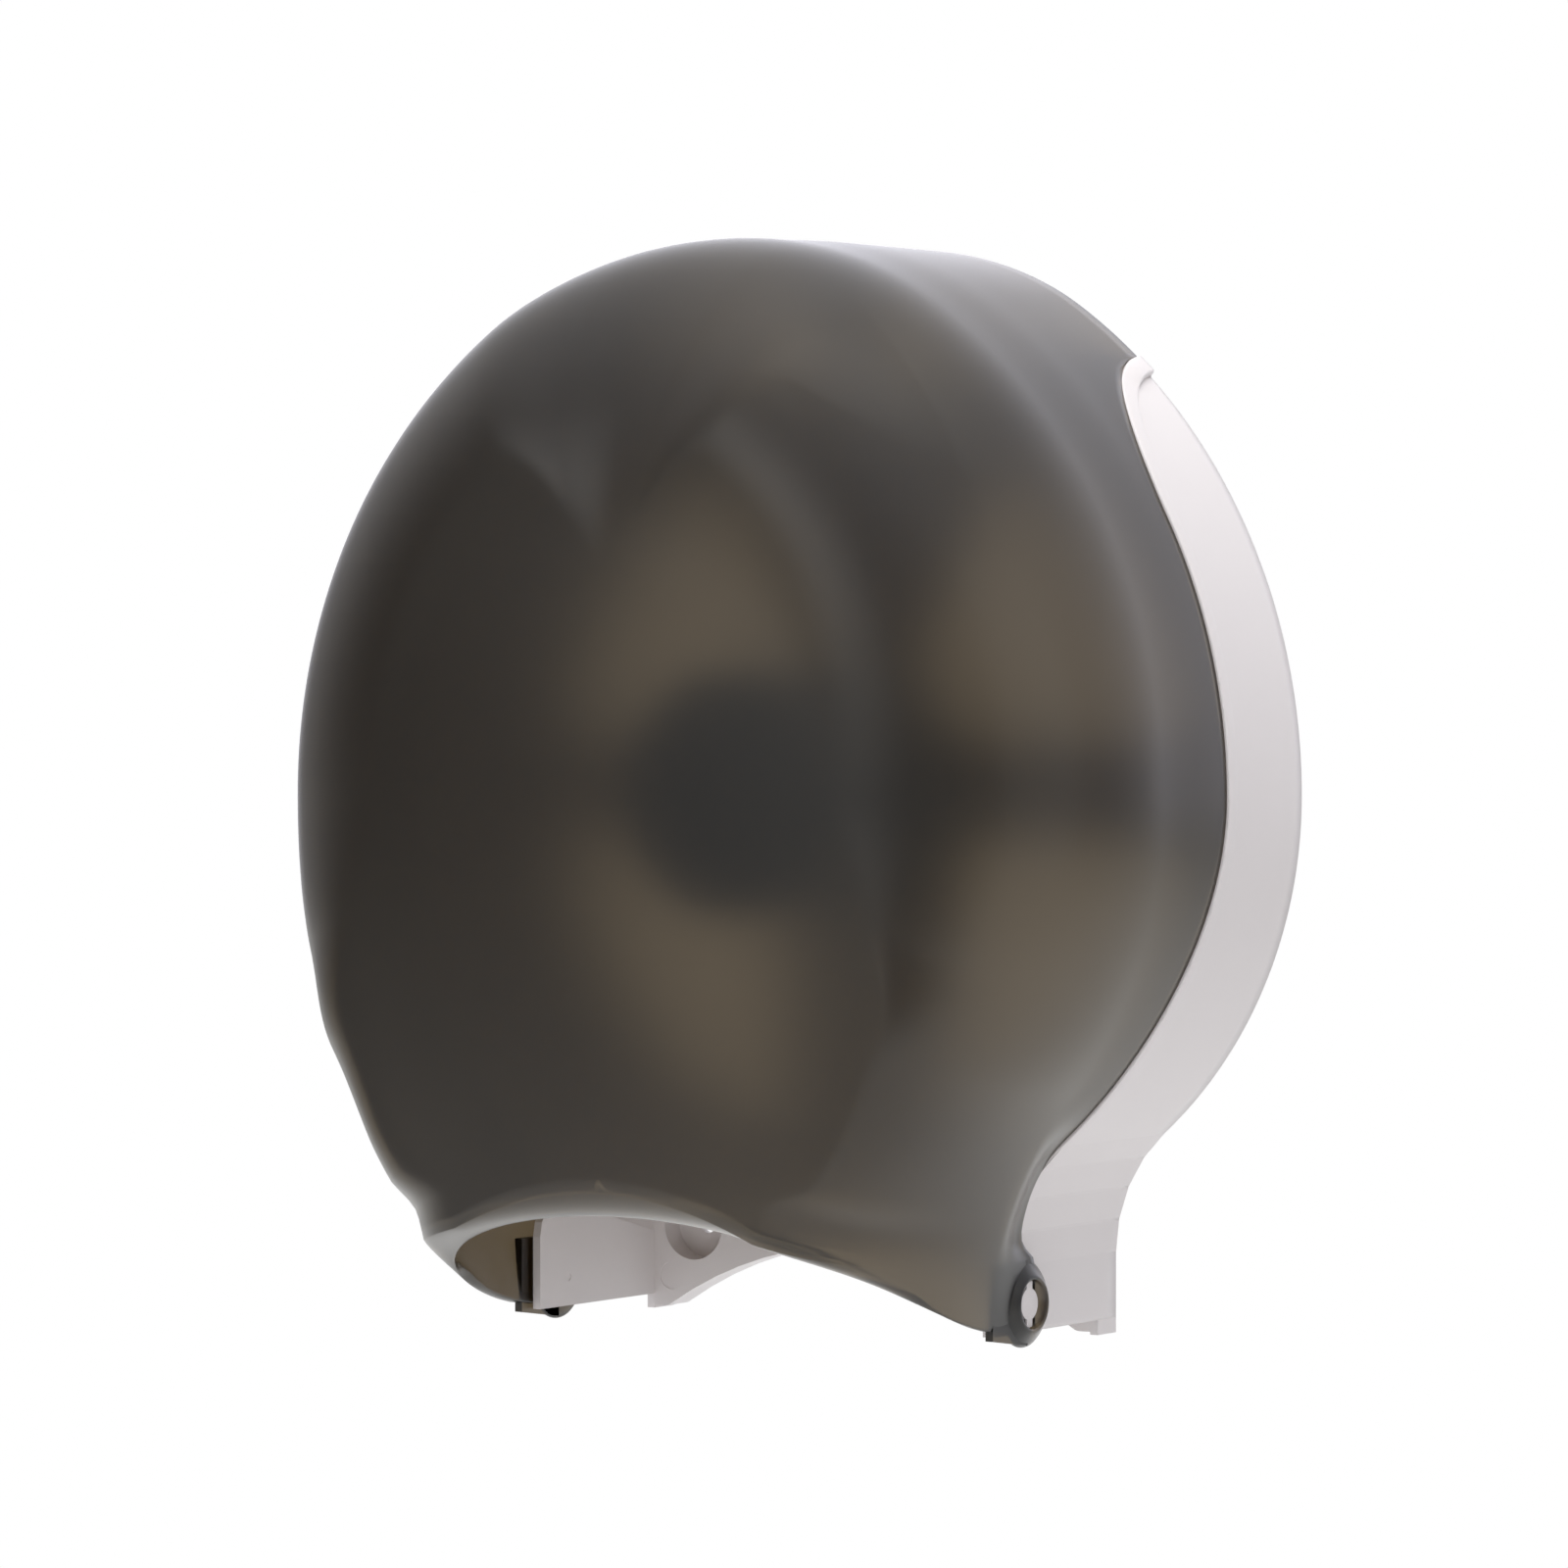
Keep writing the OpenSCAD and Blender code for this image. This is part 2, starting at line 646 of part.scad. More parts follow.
// COVER
// Each spoke of the shell runs from the rear edge forwards along the side, round to the front and across to
// the middle line. The spokes follow the outline from the crown to the leg, and the last few pass over into
// the curled lip of the paper slot.
cover_leg = leg_half + leg_gap + cover_wall;
cover_back = 0.5;
round_r = body_d - dome_d - round_d;
dome_half_w = 80;
dome_half_h = 100;
dome_z = -30;
dome_fall = 6;
side_rows = 3;
round_rows = 6;
front_rows = 3;
rows = side_rows + round_rows + front_rows;
fan_share = 0.55;
fan_low_share = 0.9;
lip_steps = 4;
lip_round = 52;
lip_share = 0.5;
plan_power = 3;

rim_points = half_outline(0, cover_leg);
rim_normals = half_outline(1, cover_leg) - rim_points;
last = len(rim_points) - 1;

// Below the roll's axis the front keeps to the hip for longer and then takes a wider hollow
front_centre = [cover_leg + front_flare_r,
                -sqrt(pow(hip_r + front_flare_r, 2) - pow(cover_leg + front_flare_r - hip_c[0], 2))];
front_turn_z = front_centre[1] * hip_r / (hip_r + front_flare_r);
function front_point(j) = let (z = rim_points[j][1])
    z > front_turn_z ? rim_points[j]
    : [front_centre[0] - sqrt(pow(front_flare_r, 2) - pow(z - front_centre[1], 2)), z];
function front_normal(j) = rim_points[j][1] > front_turn_z ? rim_normals[j]
    : (front_point(j) - front_centre) / front_flare_r;

// How far the rounding reaches in from the sides: along the crown, the shoulder and the side, and from
// there down to the leg
round_shares = [1.29, 1.15, 0.8, 0.87];
low_round_shares = [[0, 0.87], [-50, 0.65], [-78, 0.38], [-100, 0.3], [-110, 0.34], [-120, 0.52]];
function round_of(j) =
    let (z = rim_points[j][1], on_shoulder = j - crown_steps, on_side = on_shoulder - shoulder_steps)
    round_r * (on_shoulder < 0 ? mix(round_shares[0], round_shares[1], j / crown_steps)
    : on_side < 0 ? mix(round_shares[1], round_shares[2], on_shoulder / shoulder_steps)
    : z > 0 ? mix(round_shares[2], round_shares[3], on_side / side_steps)
    : lookup(z, low_round_shares));
function turn_of(k) = k < side_rows ? 0 : min(90, 90 * (k - side_rows + 1) / round_rows);
function lean(j) = draft * (round_d - rim_at(rim_points[j][1]));
function back_step(j) = rim_points[j][1] > 0 ? back_flare * min(1, rim_points[j][0] / flange_r / 2) : 0;
function side_point(j, k) =
    let (p = k == 0 ? rim_points[j] - rim_normals[j] * back_step(j)
        : k == 1 ? rim_points[j] : front_point(j) + front_normal(j) * lean(j))
    [p[0], [cover_back, rim_at(p[1]) + rim_gap, round_d][k], p[1]];
function front_start(j) = front_point(j) + front_normal(j) * (lean(j) + round_of(j));
front_low = front_start(last)[1];
// Depth of the front's dome at x and z. Past its rim the dome falls less and less.
function front_depth(x, z) =
    let (r = norm([x / dome_half_w, (z - dome_z) / dome_half_h]))
    body_d - dome_d * (r < 1 ? r * r : 1 + (1 - exp(dome_fall * (1 - r))) * 2 / dome_fall);
function middle_z(q) = q[1] > 0 ? fan_share * front_start(0)[1] * atan2(q[1], q[0]) / 90
    : q[1] * mix(fan_share, fan_low_share, q[1] / front_low);

// Point k of spoke j on the outer face, as x, depth and z
function spoke(j, k) =
    k < side_rows ? side_point(j, k)
    : k < side_rows + round_rows
        ? let (p = front_point(j) + front_normal(j) * (lean(j) + round_of(j) * (1 - cos(turn_of(k)))))
          [p[0], mix(round_d, front_depth(p[0], p[1]), sin(turn_of(k))), p[1]]
    : let (t = (k - side_rows - round_rows + 1) / front_rows, q = front_start(j))
      let (x = q[0] * (1 - t), z = mix(q[1], middle_z(q), t * (2 - t)))
      [x, front_depth(x, z), z];

// The lip is an ellipse from the front and a rounded corner from above
lip_front = body_d - lip_curl;
function lip_point(a) = let (t = pow(1 - pow(cos(a), plan_power), 1 / plan_power))
    [cover_leg * cos(a), mix(leg_d, lip_front, t), -lip_side + lip_rise * sin(a)];
function lip_angle(k) = k < side_rows + round_rows ? lip_round * (k - side_rows + 1) / round_rows
    : acos(cos(lip_round) * (1 - (k - side_rows - round_rows + 1) / front_rows));
function lip(k) = k < side_rows ? [cover_leg, [cover_back, rim_at(-lip_side) + rim_gap, leg_d][k], -lip_side]
    : lip_point(lip_angle(k));

function outer_point(j, k) = j <= last ? spoke(j, k)
    : let (s = (j - last) / lip_steps)
      let (t = mix(s, sin(90 * s), lip_share), drop = mix(s, 1 - cos(90 * s), lip_share))
      let (a = spoke(last, k), b = lip(k))
      [mix(a[0], b[0], t), mix(a[1], b[1], drop), mix(a[2], b[2], t)];
function inner_point(j, k) =
    let (n = j <= last ? rim_normals[j] : [-1, 0], m = j <= last ? front_normal(j) : [-1, 0])
    let (a = turn_of(k), flat = n * cos(a) + m * sin(a), u = flat / norm(flat) * cover_wall * cos(a))
    let (p = outer_point(j, k))
    [p[0] + u[0], p[1] - cover_wall * sin(a), p[2] + u[1]];

module cover_shell() {
    count = last + lip_steps + 1;
    sheet = count * rows;
    grid = [for (face = [0, 1]) for (side = [1, -1]) for (j = [0 : count - 1]) for (k = [0 : rows - 1])
        let (p = face == 0 ? outer_point(j, k) : inner_point(j, k)) [side * p[0], -p[1], p[2]]];
    // The two halves share the points on the middle line
    function id(face, side, j, k) = (2 * face + (j == 0 || k == rows - 1 ? 0 : side)) * sheet + j * rows + k;
    function quad(a, b, c, d, flip) = flip ? [[d, b, a], [d, c, b]] : [[a, b, d], [b, c, d]];
    skin = [for (face = [0, 1]) for (side = [0, 1]) for (j = [0 : count - 2]) for (k = [0 : rows - 2])
        each quad(id(face, side, j, k), id(face, side, j, k + 1),
                  id(face, side, j + 1, k + 1), id(face, side, j + 1, k), (face + side) % 2 == 0)];
    back_edge = [for (side = [0, 1]) for (j = [0 : count - 2])
        each quad(id(0, side, j, 0), id(0, side, j + 1, 0), id(1, side, j + 1, 0), id(1, side, j, 0),
                  side == 0)];
    lip_edge = [for (side = [0, 1]) for (k = [0 : rows - 2])
        each quad(id(0, side, count - 1, k), id(0, side, count - 1, k + 1), id(1, side, count - 1, k + 1),
                  id(1, side, count - 1, k), side == 0)];
    polyhedron(points = grid, faces = concat(skin, back_edge, lip_edge));
}

// Side view of what is cut from the shell for the back plate and the ears
ear_cut_d = hinge_d - pin_r;
ear_cut_z = hinge_z + ear_r - lap;
ear_turn_rise = 5;
ear_turn_z = ear_cut_z + ear_turn_rise;

module cover_back_cut() {
    turn_d = rim_at(ear_turn_z) + rim_gap;
    polygon(concat([[rim_d - rim_corner_r - over, -skirt_foot - over]], rim_line(rim_gap),
                   rounded_corner([turn_d, rim_low_z], [turn_d, ear_turn_z],
                                  [ear_cut_d, ear_cut_z], ear_r / 2),
                   [[ear_cut_d, ear_cut_z], [ear_cut_d, -skirt_foot - over]]));
}

pad_set = 0.5;
pad_t = 1.1;
pad_in = leg_half + leg_gap + pad_set;
pad_out = pad_in + pad_t;
ear_out = cover_leg + ear_cone;
ear_nose = 4.2;
ear_front = leg_d + ear_nose;
key_wall = 1.2;
pocket_floor = pad_in + key_wall;
pin_recess = 1.7;
ear_pad = 0.3;

module ear() {
    cross_rod(pad_in, pad_out, hinge_d, hinge_z, ear_r);
    cross_rod(pad_out, ear_out, hinge_d, hinge_z, ear_r, ear_mouth_r);
    across(pad_in, cover_leg + ear_pad)
        polygon([[hinge_d, hinge_z - ear_r + lap], [ear_front, -lip_side - pin_r / 2],
                 [ear_front, ear_cut_z + lap], [hinge_d, ear_cut_z + lap]]);
}

// Keyway that lets the ear pass over the lugs when the cover hangs open
module ear_bore() {
    cross_rod(pad_in - over, ear_out + over, hinge_d, hinge_z, pin_r + pin_play);
    cross_rod(pocket_floor, ear_out + over, hinge_d, hinge_z, pocket_r);
    block([pad_in - over, hinge_d - pocket_r, hinge_z - lug_w / 2 - seat_gap],
          [pad_out, hinge_d + pocket_r, hinge_z + lug_w / 2 + seat_gap]);
}

lock_sink = 0.3;
lock_top = top_h - lock_sink;
lock_head_h = 2.2;
lock_edge = 0.4;
lock_seat = lock_top - lock_head_h;
lock_boss_h = 5;
lock_boss_wall = 3;
lock_boss_z = lock_seat - lock_boss_h;
lock_boss_r = lock_head_r + lock_boss_wall;
lock_bottom = lock_seat - lock_len;

module cover() {
    color([0.22, 0.2, 0.19]) difference() {
        union() {
            difference() {
                cover_shell();
                across(-body_w, body_w) cover_back_cut();
            }
            ear();
            mirror([1, 0, 0]) ear();
            upright(lock_boss_z, top_h - cover_wall / 2, lock_boss_r);
        }
        ear_bore();
        mirror([1, 0, 0]) ear_bore();
        upright(lock_boss_z - over, top_h + over, lock_r + screw_play);
        upright(lock_seat - screw_play, top_h + over, lock_head_r + screw_play);
    }
}

// LOCK
plug_play = 0.05;
plug_sink = 0.2;
tang_w = 6;
cam_gap = 0.2;
cam_top = lock_bottom - cam_gap;
cam_washer_t = 0.8;
cam_washer_r = 5.2;
cam_screw_r = 1.75;
cam_screw_head_r = 3.2;
cam_screw_len = 9;
key_slot_w = 1.3;
key_slot_share = 1.3;
key_slot_h = 6;

module lock_housing() {
    color("silver") difference() {
        union() {
            upright(lock_seat, lock_top - lock_edge, lock_head_r);
            translate([0, -lock_d, lock_top - lock_edge])
                cylinder(h = lock_edge, r1 = lock_head_r, r2 = lock_head_r - lock_edge, $fn = 64);
            upright(lock_bottom, lock_seat + lap, lock_r);
        }
        upright(lock_bottom - over, lock_top + over, plug_r + plug_play);
    }
}

nut_flats = 24;
nut_h = 4;
lock_washer_t = 1;
lock_washer_ring = 2.8;
lock_washer_r = lock_r + lock_washer_ring;

module lock_washer() {
    color("silver") difference() {
        upright(lock_boss_z - lock_washer_t, lock_boss_z, lock_washer_r);
        upright(lock_boss_z - 2 * lock_washer_t, lock_boss_z + over, lock_r + screw_play);
    }
}

module lock_nut() {
    z1 = lock_boss_z - lock_washer_t;
    color("silver") difference() {
        translate([0, -lock_d, z1 - nut_h]) cylinder(h = nut_h, r = nut_flats / 2 / cos(30), $fn = 6);
        upright(z1 - nut_h - over, z1 + over, lock_r + screw_play);
    }
}

module lock_plug() {
    color("gold") difference() {
        union() {
            upright(lock_bottom, lock_top - plug_sink, plug_r);
            translate([-tang_w / 2, -lock_d - tang_w / 2, cam_top - cam_t + screw_play])
                cube([tang_w, tang_w, cam_t + cam_gap + lap]);
        }
        translate([-key_slot_w / 2, -lock_d - plug_r * key_slot_share / 2, lock_top - key_slot_h])
            cube([key_slot_w, plug_r * key_slot_share, key_slot_h + over]);
        upright(cam_top - cam_t - over, cam_top - cam_t + cam_screw_len, cam_screw_r + screw_play);
    }
}

// The cam points at the wall while the cover is free. A quarter turn swings it behind the strike.
module lock_cam() {
    tip_r = cam_w / 4;
    tip = rounded([[-cam_w / 2, -cam_w / 2], [cam_w / 2, -cam_w / 2],
                   [cam_w / 2, cam_len], [-cam_w / 2, cam_len]], tip_r);
    hole = tang_w / 2 + screw_play;
    color("silver") difference() {
        translate([0, -lock_d, cam_top - cam_t]) linear_extrude(cam_t) polygon(tip);
        translate([-hole, -lock_d - hole, cam_top - cam_t - over])
            cube([2 * hole, 2 * hole, cam_t + 2 * over]);
    }
}

module cam_washer() {
    color("silver") difference() {
        upright(cam_top - cam_t - cam_washer_t, cam_top - cam_t, cam_washer_r);
        upright(cam_top - cam_t - 2 * cam_washer_t, cam_top, cam_screw_r + screw_play);
    }
}

module cam_screw() {
    seat = cam_top - cam_t - cam_washer_t;
    color("silver") translate([0, -lock_d, seat]) rotate([90, 0, 0])
        screw(0, 0, 0, cam_screw_r, cam_screw_len - over, cam_screw_head_r);
}

// Folded steel strike: a foot on the panel, a shelf, and a lip in front of the cam's path
strike_set = 5.5;
strike_w = 14;
strike_foot_drop = 23;
strike_shelf_drop = 5;
strike_cam_gap = 1.5;
strike_lip_over = 3;
strike_screw_edge = 5;
strike_x0 = cam_w / 2 + strike_set;
strike_x1 = strike_x0 + strike_w;
strike_lip_x1 = cam_len + over;
strike_foot_z = plate_top - strike_foot_drop;
strike_shelf_z = plate_top - strike_shelf_drop;
strike_lip_d = lock_d + cam_w / 2 + strike_cam_gap;
strike_lip_top = cam_top + strike_lip_over;
strike_screw_places = [for (z = [strike_foot_z + strike_screw_edge, strike_shelf_z - strike_screw_edge])
    [(strike_x0 + strike_x1) / 2, z]];

module strike() {
    color("silver") difference() {
        union() {
            block([strike_x0, panel_d, strike_foot_z],
                  [strike_x1, panel_d + strike_t, strike_shelf_z + strike_t]);
            block([strike_x0, panel_d, strike_shelf_z],
                  [strike_x1, strike_lip_d + strike_t, strike_shelf_z + strike_t]);
            block([strike_x0, strike_lip_d, strike_shelf_z],
                  [strike_lip_x1, strike_lip_d + strike_t, strike_lip_top]);
        }
        for (p = strike_screw_places)
            rod(p[0], p[1], panel_d - over, panel_d + strike_t + over, strike_screw_r + screw_play);
    }
}

module strike_screws() {
    color("silver") for (p = strike_screw_places)
        screw(p[0], p[1], panel_d + strike_t, strike_screw_r, panel_d + strike_t - boss_foot - over,
              strike_screw_head_r);
}

back_plate();
spindle_post();
post_screws();
thrust_washer();
retaining_washer();
retaining_screw();
strike();
strike_screws();
hub_drum();
hub_bush_rear();
hub_bush_front();
hub_cap();
cover();
lock_housing();
lock_washer();
lock_nut();
lock_plug();
lock_cam();
cam_washer();
cam_screw();
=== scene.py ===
import bmesh
import bpy
import numpy as np
from math import acos, atan2, ceil, cos, degrees, pi, radians, sin, sqrt
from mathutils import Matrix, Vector


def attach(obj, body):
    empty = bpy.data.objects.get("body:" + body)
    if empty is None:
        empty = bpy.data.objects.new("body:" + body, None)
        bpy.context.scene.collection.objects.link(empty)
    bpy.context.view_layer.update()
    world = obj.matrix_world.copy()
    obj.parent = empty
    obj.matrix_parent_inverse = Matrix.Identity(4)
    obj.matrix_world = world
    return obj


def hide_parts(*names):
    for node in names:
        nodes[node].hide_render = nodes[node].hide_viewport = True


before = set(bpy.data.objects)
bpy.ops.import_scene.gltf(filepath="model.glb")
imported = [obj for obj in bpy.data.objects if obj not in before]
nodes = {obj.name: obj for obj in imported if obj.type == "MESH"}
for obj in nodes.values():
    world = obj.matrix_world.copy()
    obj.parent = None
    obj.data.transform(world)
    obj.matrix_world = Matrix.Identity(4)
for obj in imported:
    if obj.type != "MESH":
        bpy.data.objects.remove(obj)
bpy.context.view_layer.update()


# WHITE BACK PLATE
# One satin white moulding that is screwed to the wall: a panel with four windows, side walls and two legs with
# hinge pins. It is the CAD's own, but for a smooth skin over the side walls and the round bead on their edge.
class Wire:
    """An output socket. An expression on wires adds its Math nodes: sum, difference, product, greater."""

    def __init__(self, graph, socket):
        self.graph, self.socket = graph, socket

    def math(self, operation, first, second, clamp=False):
        return self.graph.add("Math", {"operation": operation, "use_clamp": clamp}, {0: first, 1: second})

    def __add__(self, other):
        return self.math("ADD", self, other)

    def __sub__(self, other):
        return self.math("SUBTRACT", self, other)

    def __rsub__(self, other):
        return self.math("SUBTRACT", other, self)

    def __mul__(self, other):
        return self.math("MULTIPLY", self, other)

    __radd__, __rmul__ = __add__, __mul__

    def most(self, other):
        return self.math("MAXIMUM", self, other)

    def clamp(self):
        return self.math("ADD", self, 0.0, clamp=True)


class Graph:
    """The nodes of a material or of the world."""

    def __init__(self, tree):
        self.tree = tree

    def fill(self, node, sockets):
        for socket, value in sockets.items():
            if isinstance(value, Wire):
                self.tree.links.new(value.socket, node.inputs[socket])
            else:
                node.inputs[socket].default_value = value

    def add(self, kind, settings, sockets, *outputs):
        """A node of this kind, with its settings first and then a value or a wire for each socket.

        Gives a wire from each of the outputs that are asked for, or from the first one.
        """
        node = self.tree.nodes.new("ShaderNode" + kind)
        for setting, value in settings.items():
            setattr(node, setting, value)
        self.fill(node, sockets)
        wires = [Wire(self, node.outputs[output]) for output in outputs or (0,)]
        return wires[0] if len(wires) == 1 else wires

    def blend(self, share, first, second):
        """The first colour where share is 0 and the second where it is 1."""
        first, second = (color if isinstance(color, Wire) else (*color, 1) for color in (first, second))
        return self.add("Mix", {"data_type": "RGBA"}, {0: share, 6: first, 7: second}, 2)

    def rays(self):
        """Wires that are 1 for a ray from the camera, off a gloss and through a clear piece, and one that
        counts the dull pieces which a ray has met."""
        return self.add("LightPath", {}, {}, "Is Camera Ray", "Is Glossy Ray", "Is Transmission Ray",
                        "Diffuse Depth")


class Finish(Graph):
    """A material with a Principled shader, whose fixed numbers are set on its own sockets."""

    def __init__(self, name, view_color, **fixed):
        self.material = bpy.data.materials.new(name)
        self.material.use_nodes = True
        self.material.diffuse_color = (*view_color, 1)
        super().__init__(self.material.node_tree)
        self.shader = self.tree.nodes["Principled BSDF"]
        self.place = self.add("TexCoord", {}, {}, "Object")
        self.fill(self.shader, {socket.replace("_", " "): value for socket, value in fixed.items()})

    def noise(self, scale, detail=2.0, at=None):
        """Cloudy noise from 0 to 1 with about so many clouds in a metre."""
        return self.add("TexNoise", {}, {"Vector": at or self.place, "Scale": scale, "Detail": detail})

    def color(self, share, first, second):
        self.fill(self.shader, {"Base Color": self.blend(share, first, second)})

    def roughness(self, wire):
        self.fill(self.shader, {"Roughness": wire})

    def relief(self, height, depth):
        """Bump of this depth in metres."""
        bump = self.add("Bump", {}, {"Strength": 1.0, "Distance": depth, "Height": height})
        self.fill(self.shader, {"Normal": bump})

    def put_on(self, *names):
        for name in names:
            nodes[name].data.materials.clear()
            nodes[name].data.materials.append(self.material)


white = Finish("white_abs", (0.86, 0.84, 0.83), IOR=1.5)
fine_grain = white.noise(2600, 1)
broad = white.noise(28, 3)
white.color(broad, (0.80, 0.755, 0.75), (0.84, 0.80, 0.795))
white.roughness(0.40 + broad * 0.10 + fine_grain * 0.05)
white.relief(fine_grain + white.noise(240, 1) * 0.6, 0.00001)
white.put_on("back_plate", "spindle_post")

# Sizes in millimetres. The outline's arcs, then the plate's leg, top, front edge and its upper corner.
MM = 0.001
HALF_W, TOP = 135.0, 154.5
CROWN_R, SHOULDER_R, SIDE_R, HIP_R, FLARE_R = 130.0, 104.0, 165.0, 124.5, 45.0
LEG, PLATE_TOP = 76.0, 121.0
RIM_D, RIM_STEP, RIM_FALL, CORNER_R = 41.7, 15.3, 100.0, 46.0


def ease(t):
    """Smooth step from 0 to 1: three t squared less two t cubed."""
    t = np.clip(t, 0, 1)
    return t * t * (3 - 2 * t)


def unit(vectors):
    """Each vector divided by its length."""
    return vectors / np.maximum(np.linalg.norm(vectors, axis=-1, keepdims=True), 1e-9)


def outline(leg, fine):
    """Right half of the outline from the crown's middle to the leg, as five arcs that run into each other.

    The shoulder's circle touches those of the crown and the side from inside, so its centre lies at the
    difference of the radii from both. The hollow above the leg touches the hip from outside. Gives the
    points, the inward normals, and for each point the number of its arc plus its share of that arc.
    """
    crown = np.array([0, TOP - CROWN_R])
    side, hip = np.array([HALF_W - SIDE_R, 0]), np.array([HALF_W - HIP_R, 0])
    gap = np.linalg.norm(side - crown)
    toward = (side - crown) / gap
    from_crown, from_side = CROWN_R - SHOULDER_R, SIDE_R - SHOULDER_R
    along = (from_crown ** 2 - from_side ** 2 + gap ** 2) / (2 * gap)
    aside = sqrt(max(0, from_crown ** 2 - along ** 2))
    shoulder = crown + along * toward + aside * np.array([toward[1], -toward[0]])
    crown_end = degrees(atan2(shoulder[1] - crown[1], shoulder[0] - crown[0]))
    shoulder_end = degrees(atan2(shoulder[1] - side[1], shoulder[0] - side[0]))
    across = leg + FLARE_R - hip[0]
    hollow = np.array([leg + FLARE_R, -sqrt((HIP_R + FLARE_R) ** 2 - across ** 2)])
    hip_end = degrees(acos(across / (HIP_R + FLARE_R)))
    arcs = [(crown, CROWN_R, 90, crown_end, 1), (shoulder, SHOULDER_R, crown_end, shoulder_end, 1),
            (side, SIDE_R, shoulder_end, 0, 1), (hip, HIP_R, 0, -hip_end, 1),
            (hollow, FLARE_R, 180 - hip_end, 180, -1)]
    points, normals, part = [], [], []
    for number, (centre, r, start, end, sign) in enumerate(arcs):
        steps = max(4, ceil(radians(abs(start - end)) * r / fine))
        t = np.arange(steps + (number == len(arcs) - 1)) / steps
        angle = np.radians(start + (end - start) * t)
        way = np.stack([np.cos(angle), np.sin(angle)], 1)
        points.append(centre + r * way)
        normals.append(-sign * way)
        part.append(number + t)
    return np.concatenate(points), np.concatenate(normals), np.concatenate(part)


def rim_at(z):
    """Depth of the side walls' front edge: a rim's depth, plus a smooth step forward below the roll's axis."""
    return RIM_D + RIM_STEP * ease(np.asarray(z) / -RIM_FALL)


def edge_at(z, grow):
    """Depth of that edge with a quarter circle at its upper corner, both grown by the gap to the cover."""
    z = np.asarray(z, float)
    high = z - (PLATE_TOP - CORNER_R)
    corner = RIM_D - CORNER_R + np.sqrt(np.maximum(0, (CORNER_R + grow) ** 2 - np.maximum(high, 0) ** 2))
    return np.where(high > 0, corner, rim_at(z) + grow)


DENSE_STEP, CROWN_FOOT = 0.5, 140
dense, dense_n, _ = outline(LEG, DENSE_STEP)
below_crown = dense[:, 1] < CROWN_FOOT
dense, dense_n = dense[below_crown][::-1], dense_n[below_crown][::-1]


def wall_x(z):
    """Half width of the side walls at height z, read off the outline."""
    return np.interp(z, dense[:, 1], dense[:, 0])


def wall_out(z):
    """Outward normal of the side wall at height z, as x and z, read off the outline."""
    return unit(-np.stack([np.interp(z, dense[:, 1], dense_n[:, i]) for i in (0, 1)], -1))


def quads(numbers, flip=False):
    """Faces between the neighbouring rows and columns of a grid of point numbers."""
    faces = np.stack([numbers[:-1, :-1], numbers[:-1, 1:], numbers[1:, 1:], numbers[1:, :-1]], -1)
    faces = faces.reshape(-1, 4)
    return (faces[:, ::-1] if flip else faces).tolist()


def capped_tube(rows, columns):
    """Faces of rows of points that close round, with a cap on the first and on the last column."""
    numbers = np.arange(rows * columns).reshape(rows, columns)
    return quads(np.vstack([numbers, numbers[:1]])) + [numbers[:, 0].tolist(), numbers[::-1, -1].tolist()]


def mirrored(points, faces):
    """The points and faces with their mirror image across the middle plane."""
    twins = [[number + len(points) for number in face[::-1]] for face in faces]
    return np.vstack([points, points * [-1, 1, 1]]), faces + twins


def object_from(name, points, faces, finish, smooth=True):
    """A mesh object from points in millimetres and faces of point numbers."""
    mesh = bpy.data.meshes.new(name)
    mesh.from_pydata((np.asarray(points) * MM).tolist(), [], faces)
    mesh.validate()
    mesh.update()
    mesh.polygons.foreach_set("use_smooth", np.full(len(mesh.polygons), smooth))
    mesh.materials.append(finish.material)
    obj = bpy.data.objects.new(name, mesh)
    bpy.context.scene.collection.objects.link(obj)
    return obj


# The wall's skin: a thin sheet that follows the outline, from the wall's back to just behind the bead
SKIN_OUT, SKIN_IN, SKIN_BACK, UNDER_BEAD, LEAST_REACH = 0.04, 1.2, 0.08, 1.2, 0.3
SKIN_ROWS, STEP_Z, WALL_FOOT = 12, 1.5, -146.6
corner_z = PLATE_TOP - CORNER_R + CORNER_R * np.sin(np.radians(np.arange(86, 0, -3)))
straight_z = np.arange(PLATE_TOP - CORNER_R, WALL_FOOT, -STEP_Z)
wall_z = np.concatenate([[PLATE_TOP], corner_z, straight_z, [WALL_FOOT]])
reach = np.maximum(edge_at(wall_z, 0) - UNDER_BEAD, LEAST_REACH)
depths = SKIN_BACK + (reach - SKIN_BACK) * np.linspace(0, 1, SKIN_ROWS)[:, None]
out = wall_out(wall_z)
inner, outer = (np.stack(np.broadcast_arrays(wall_x(wall_z) + out[:, 0] * lift, -depths,
                                             wall_z + out[:, 1] * lift), 2) for lift in (-SKIN_IN, SKIN_OUT))
points, faces = mirrored(np.concatenate([inner, outer[::-1]]).reshape(-1, 3),
                         capped_tube(2 * SKIN_ROWS, len(wall_z)))
wall_skin = object_from("plate_side_skin", points, faces, white)
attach(wall_skin, "base")

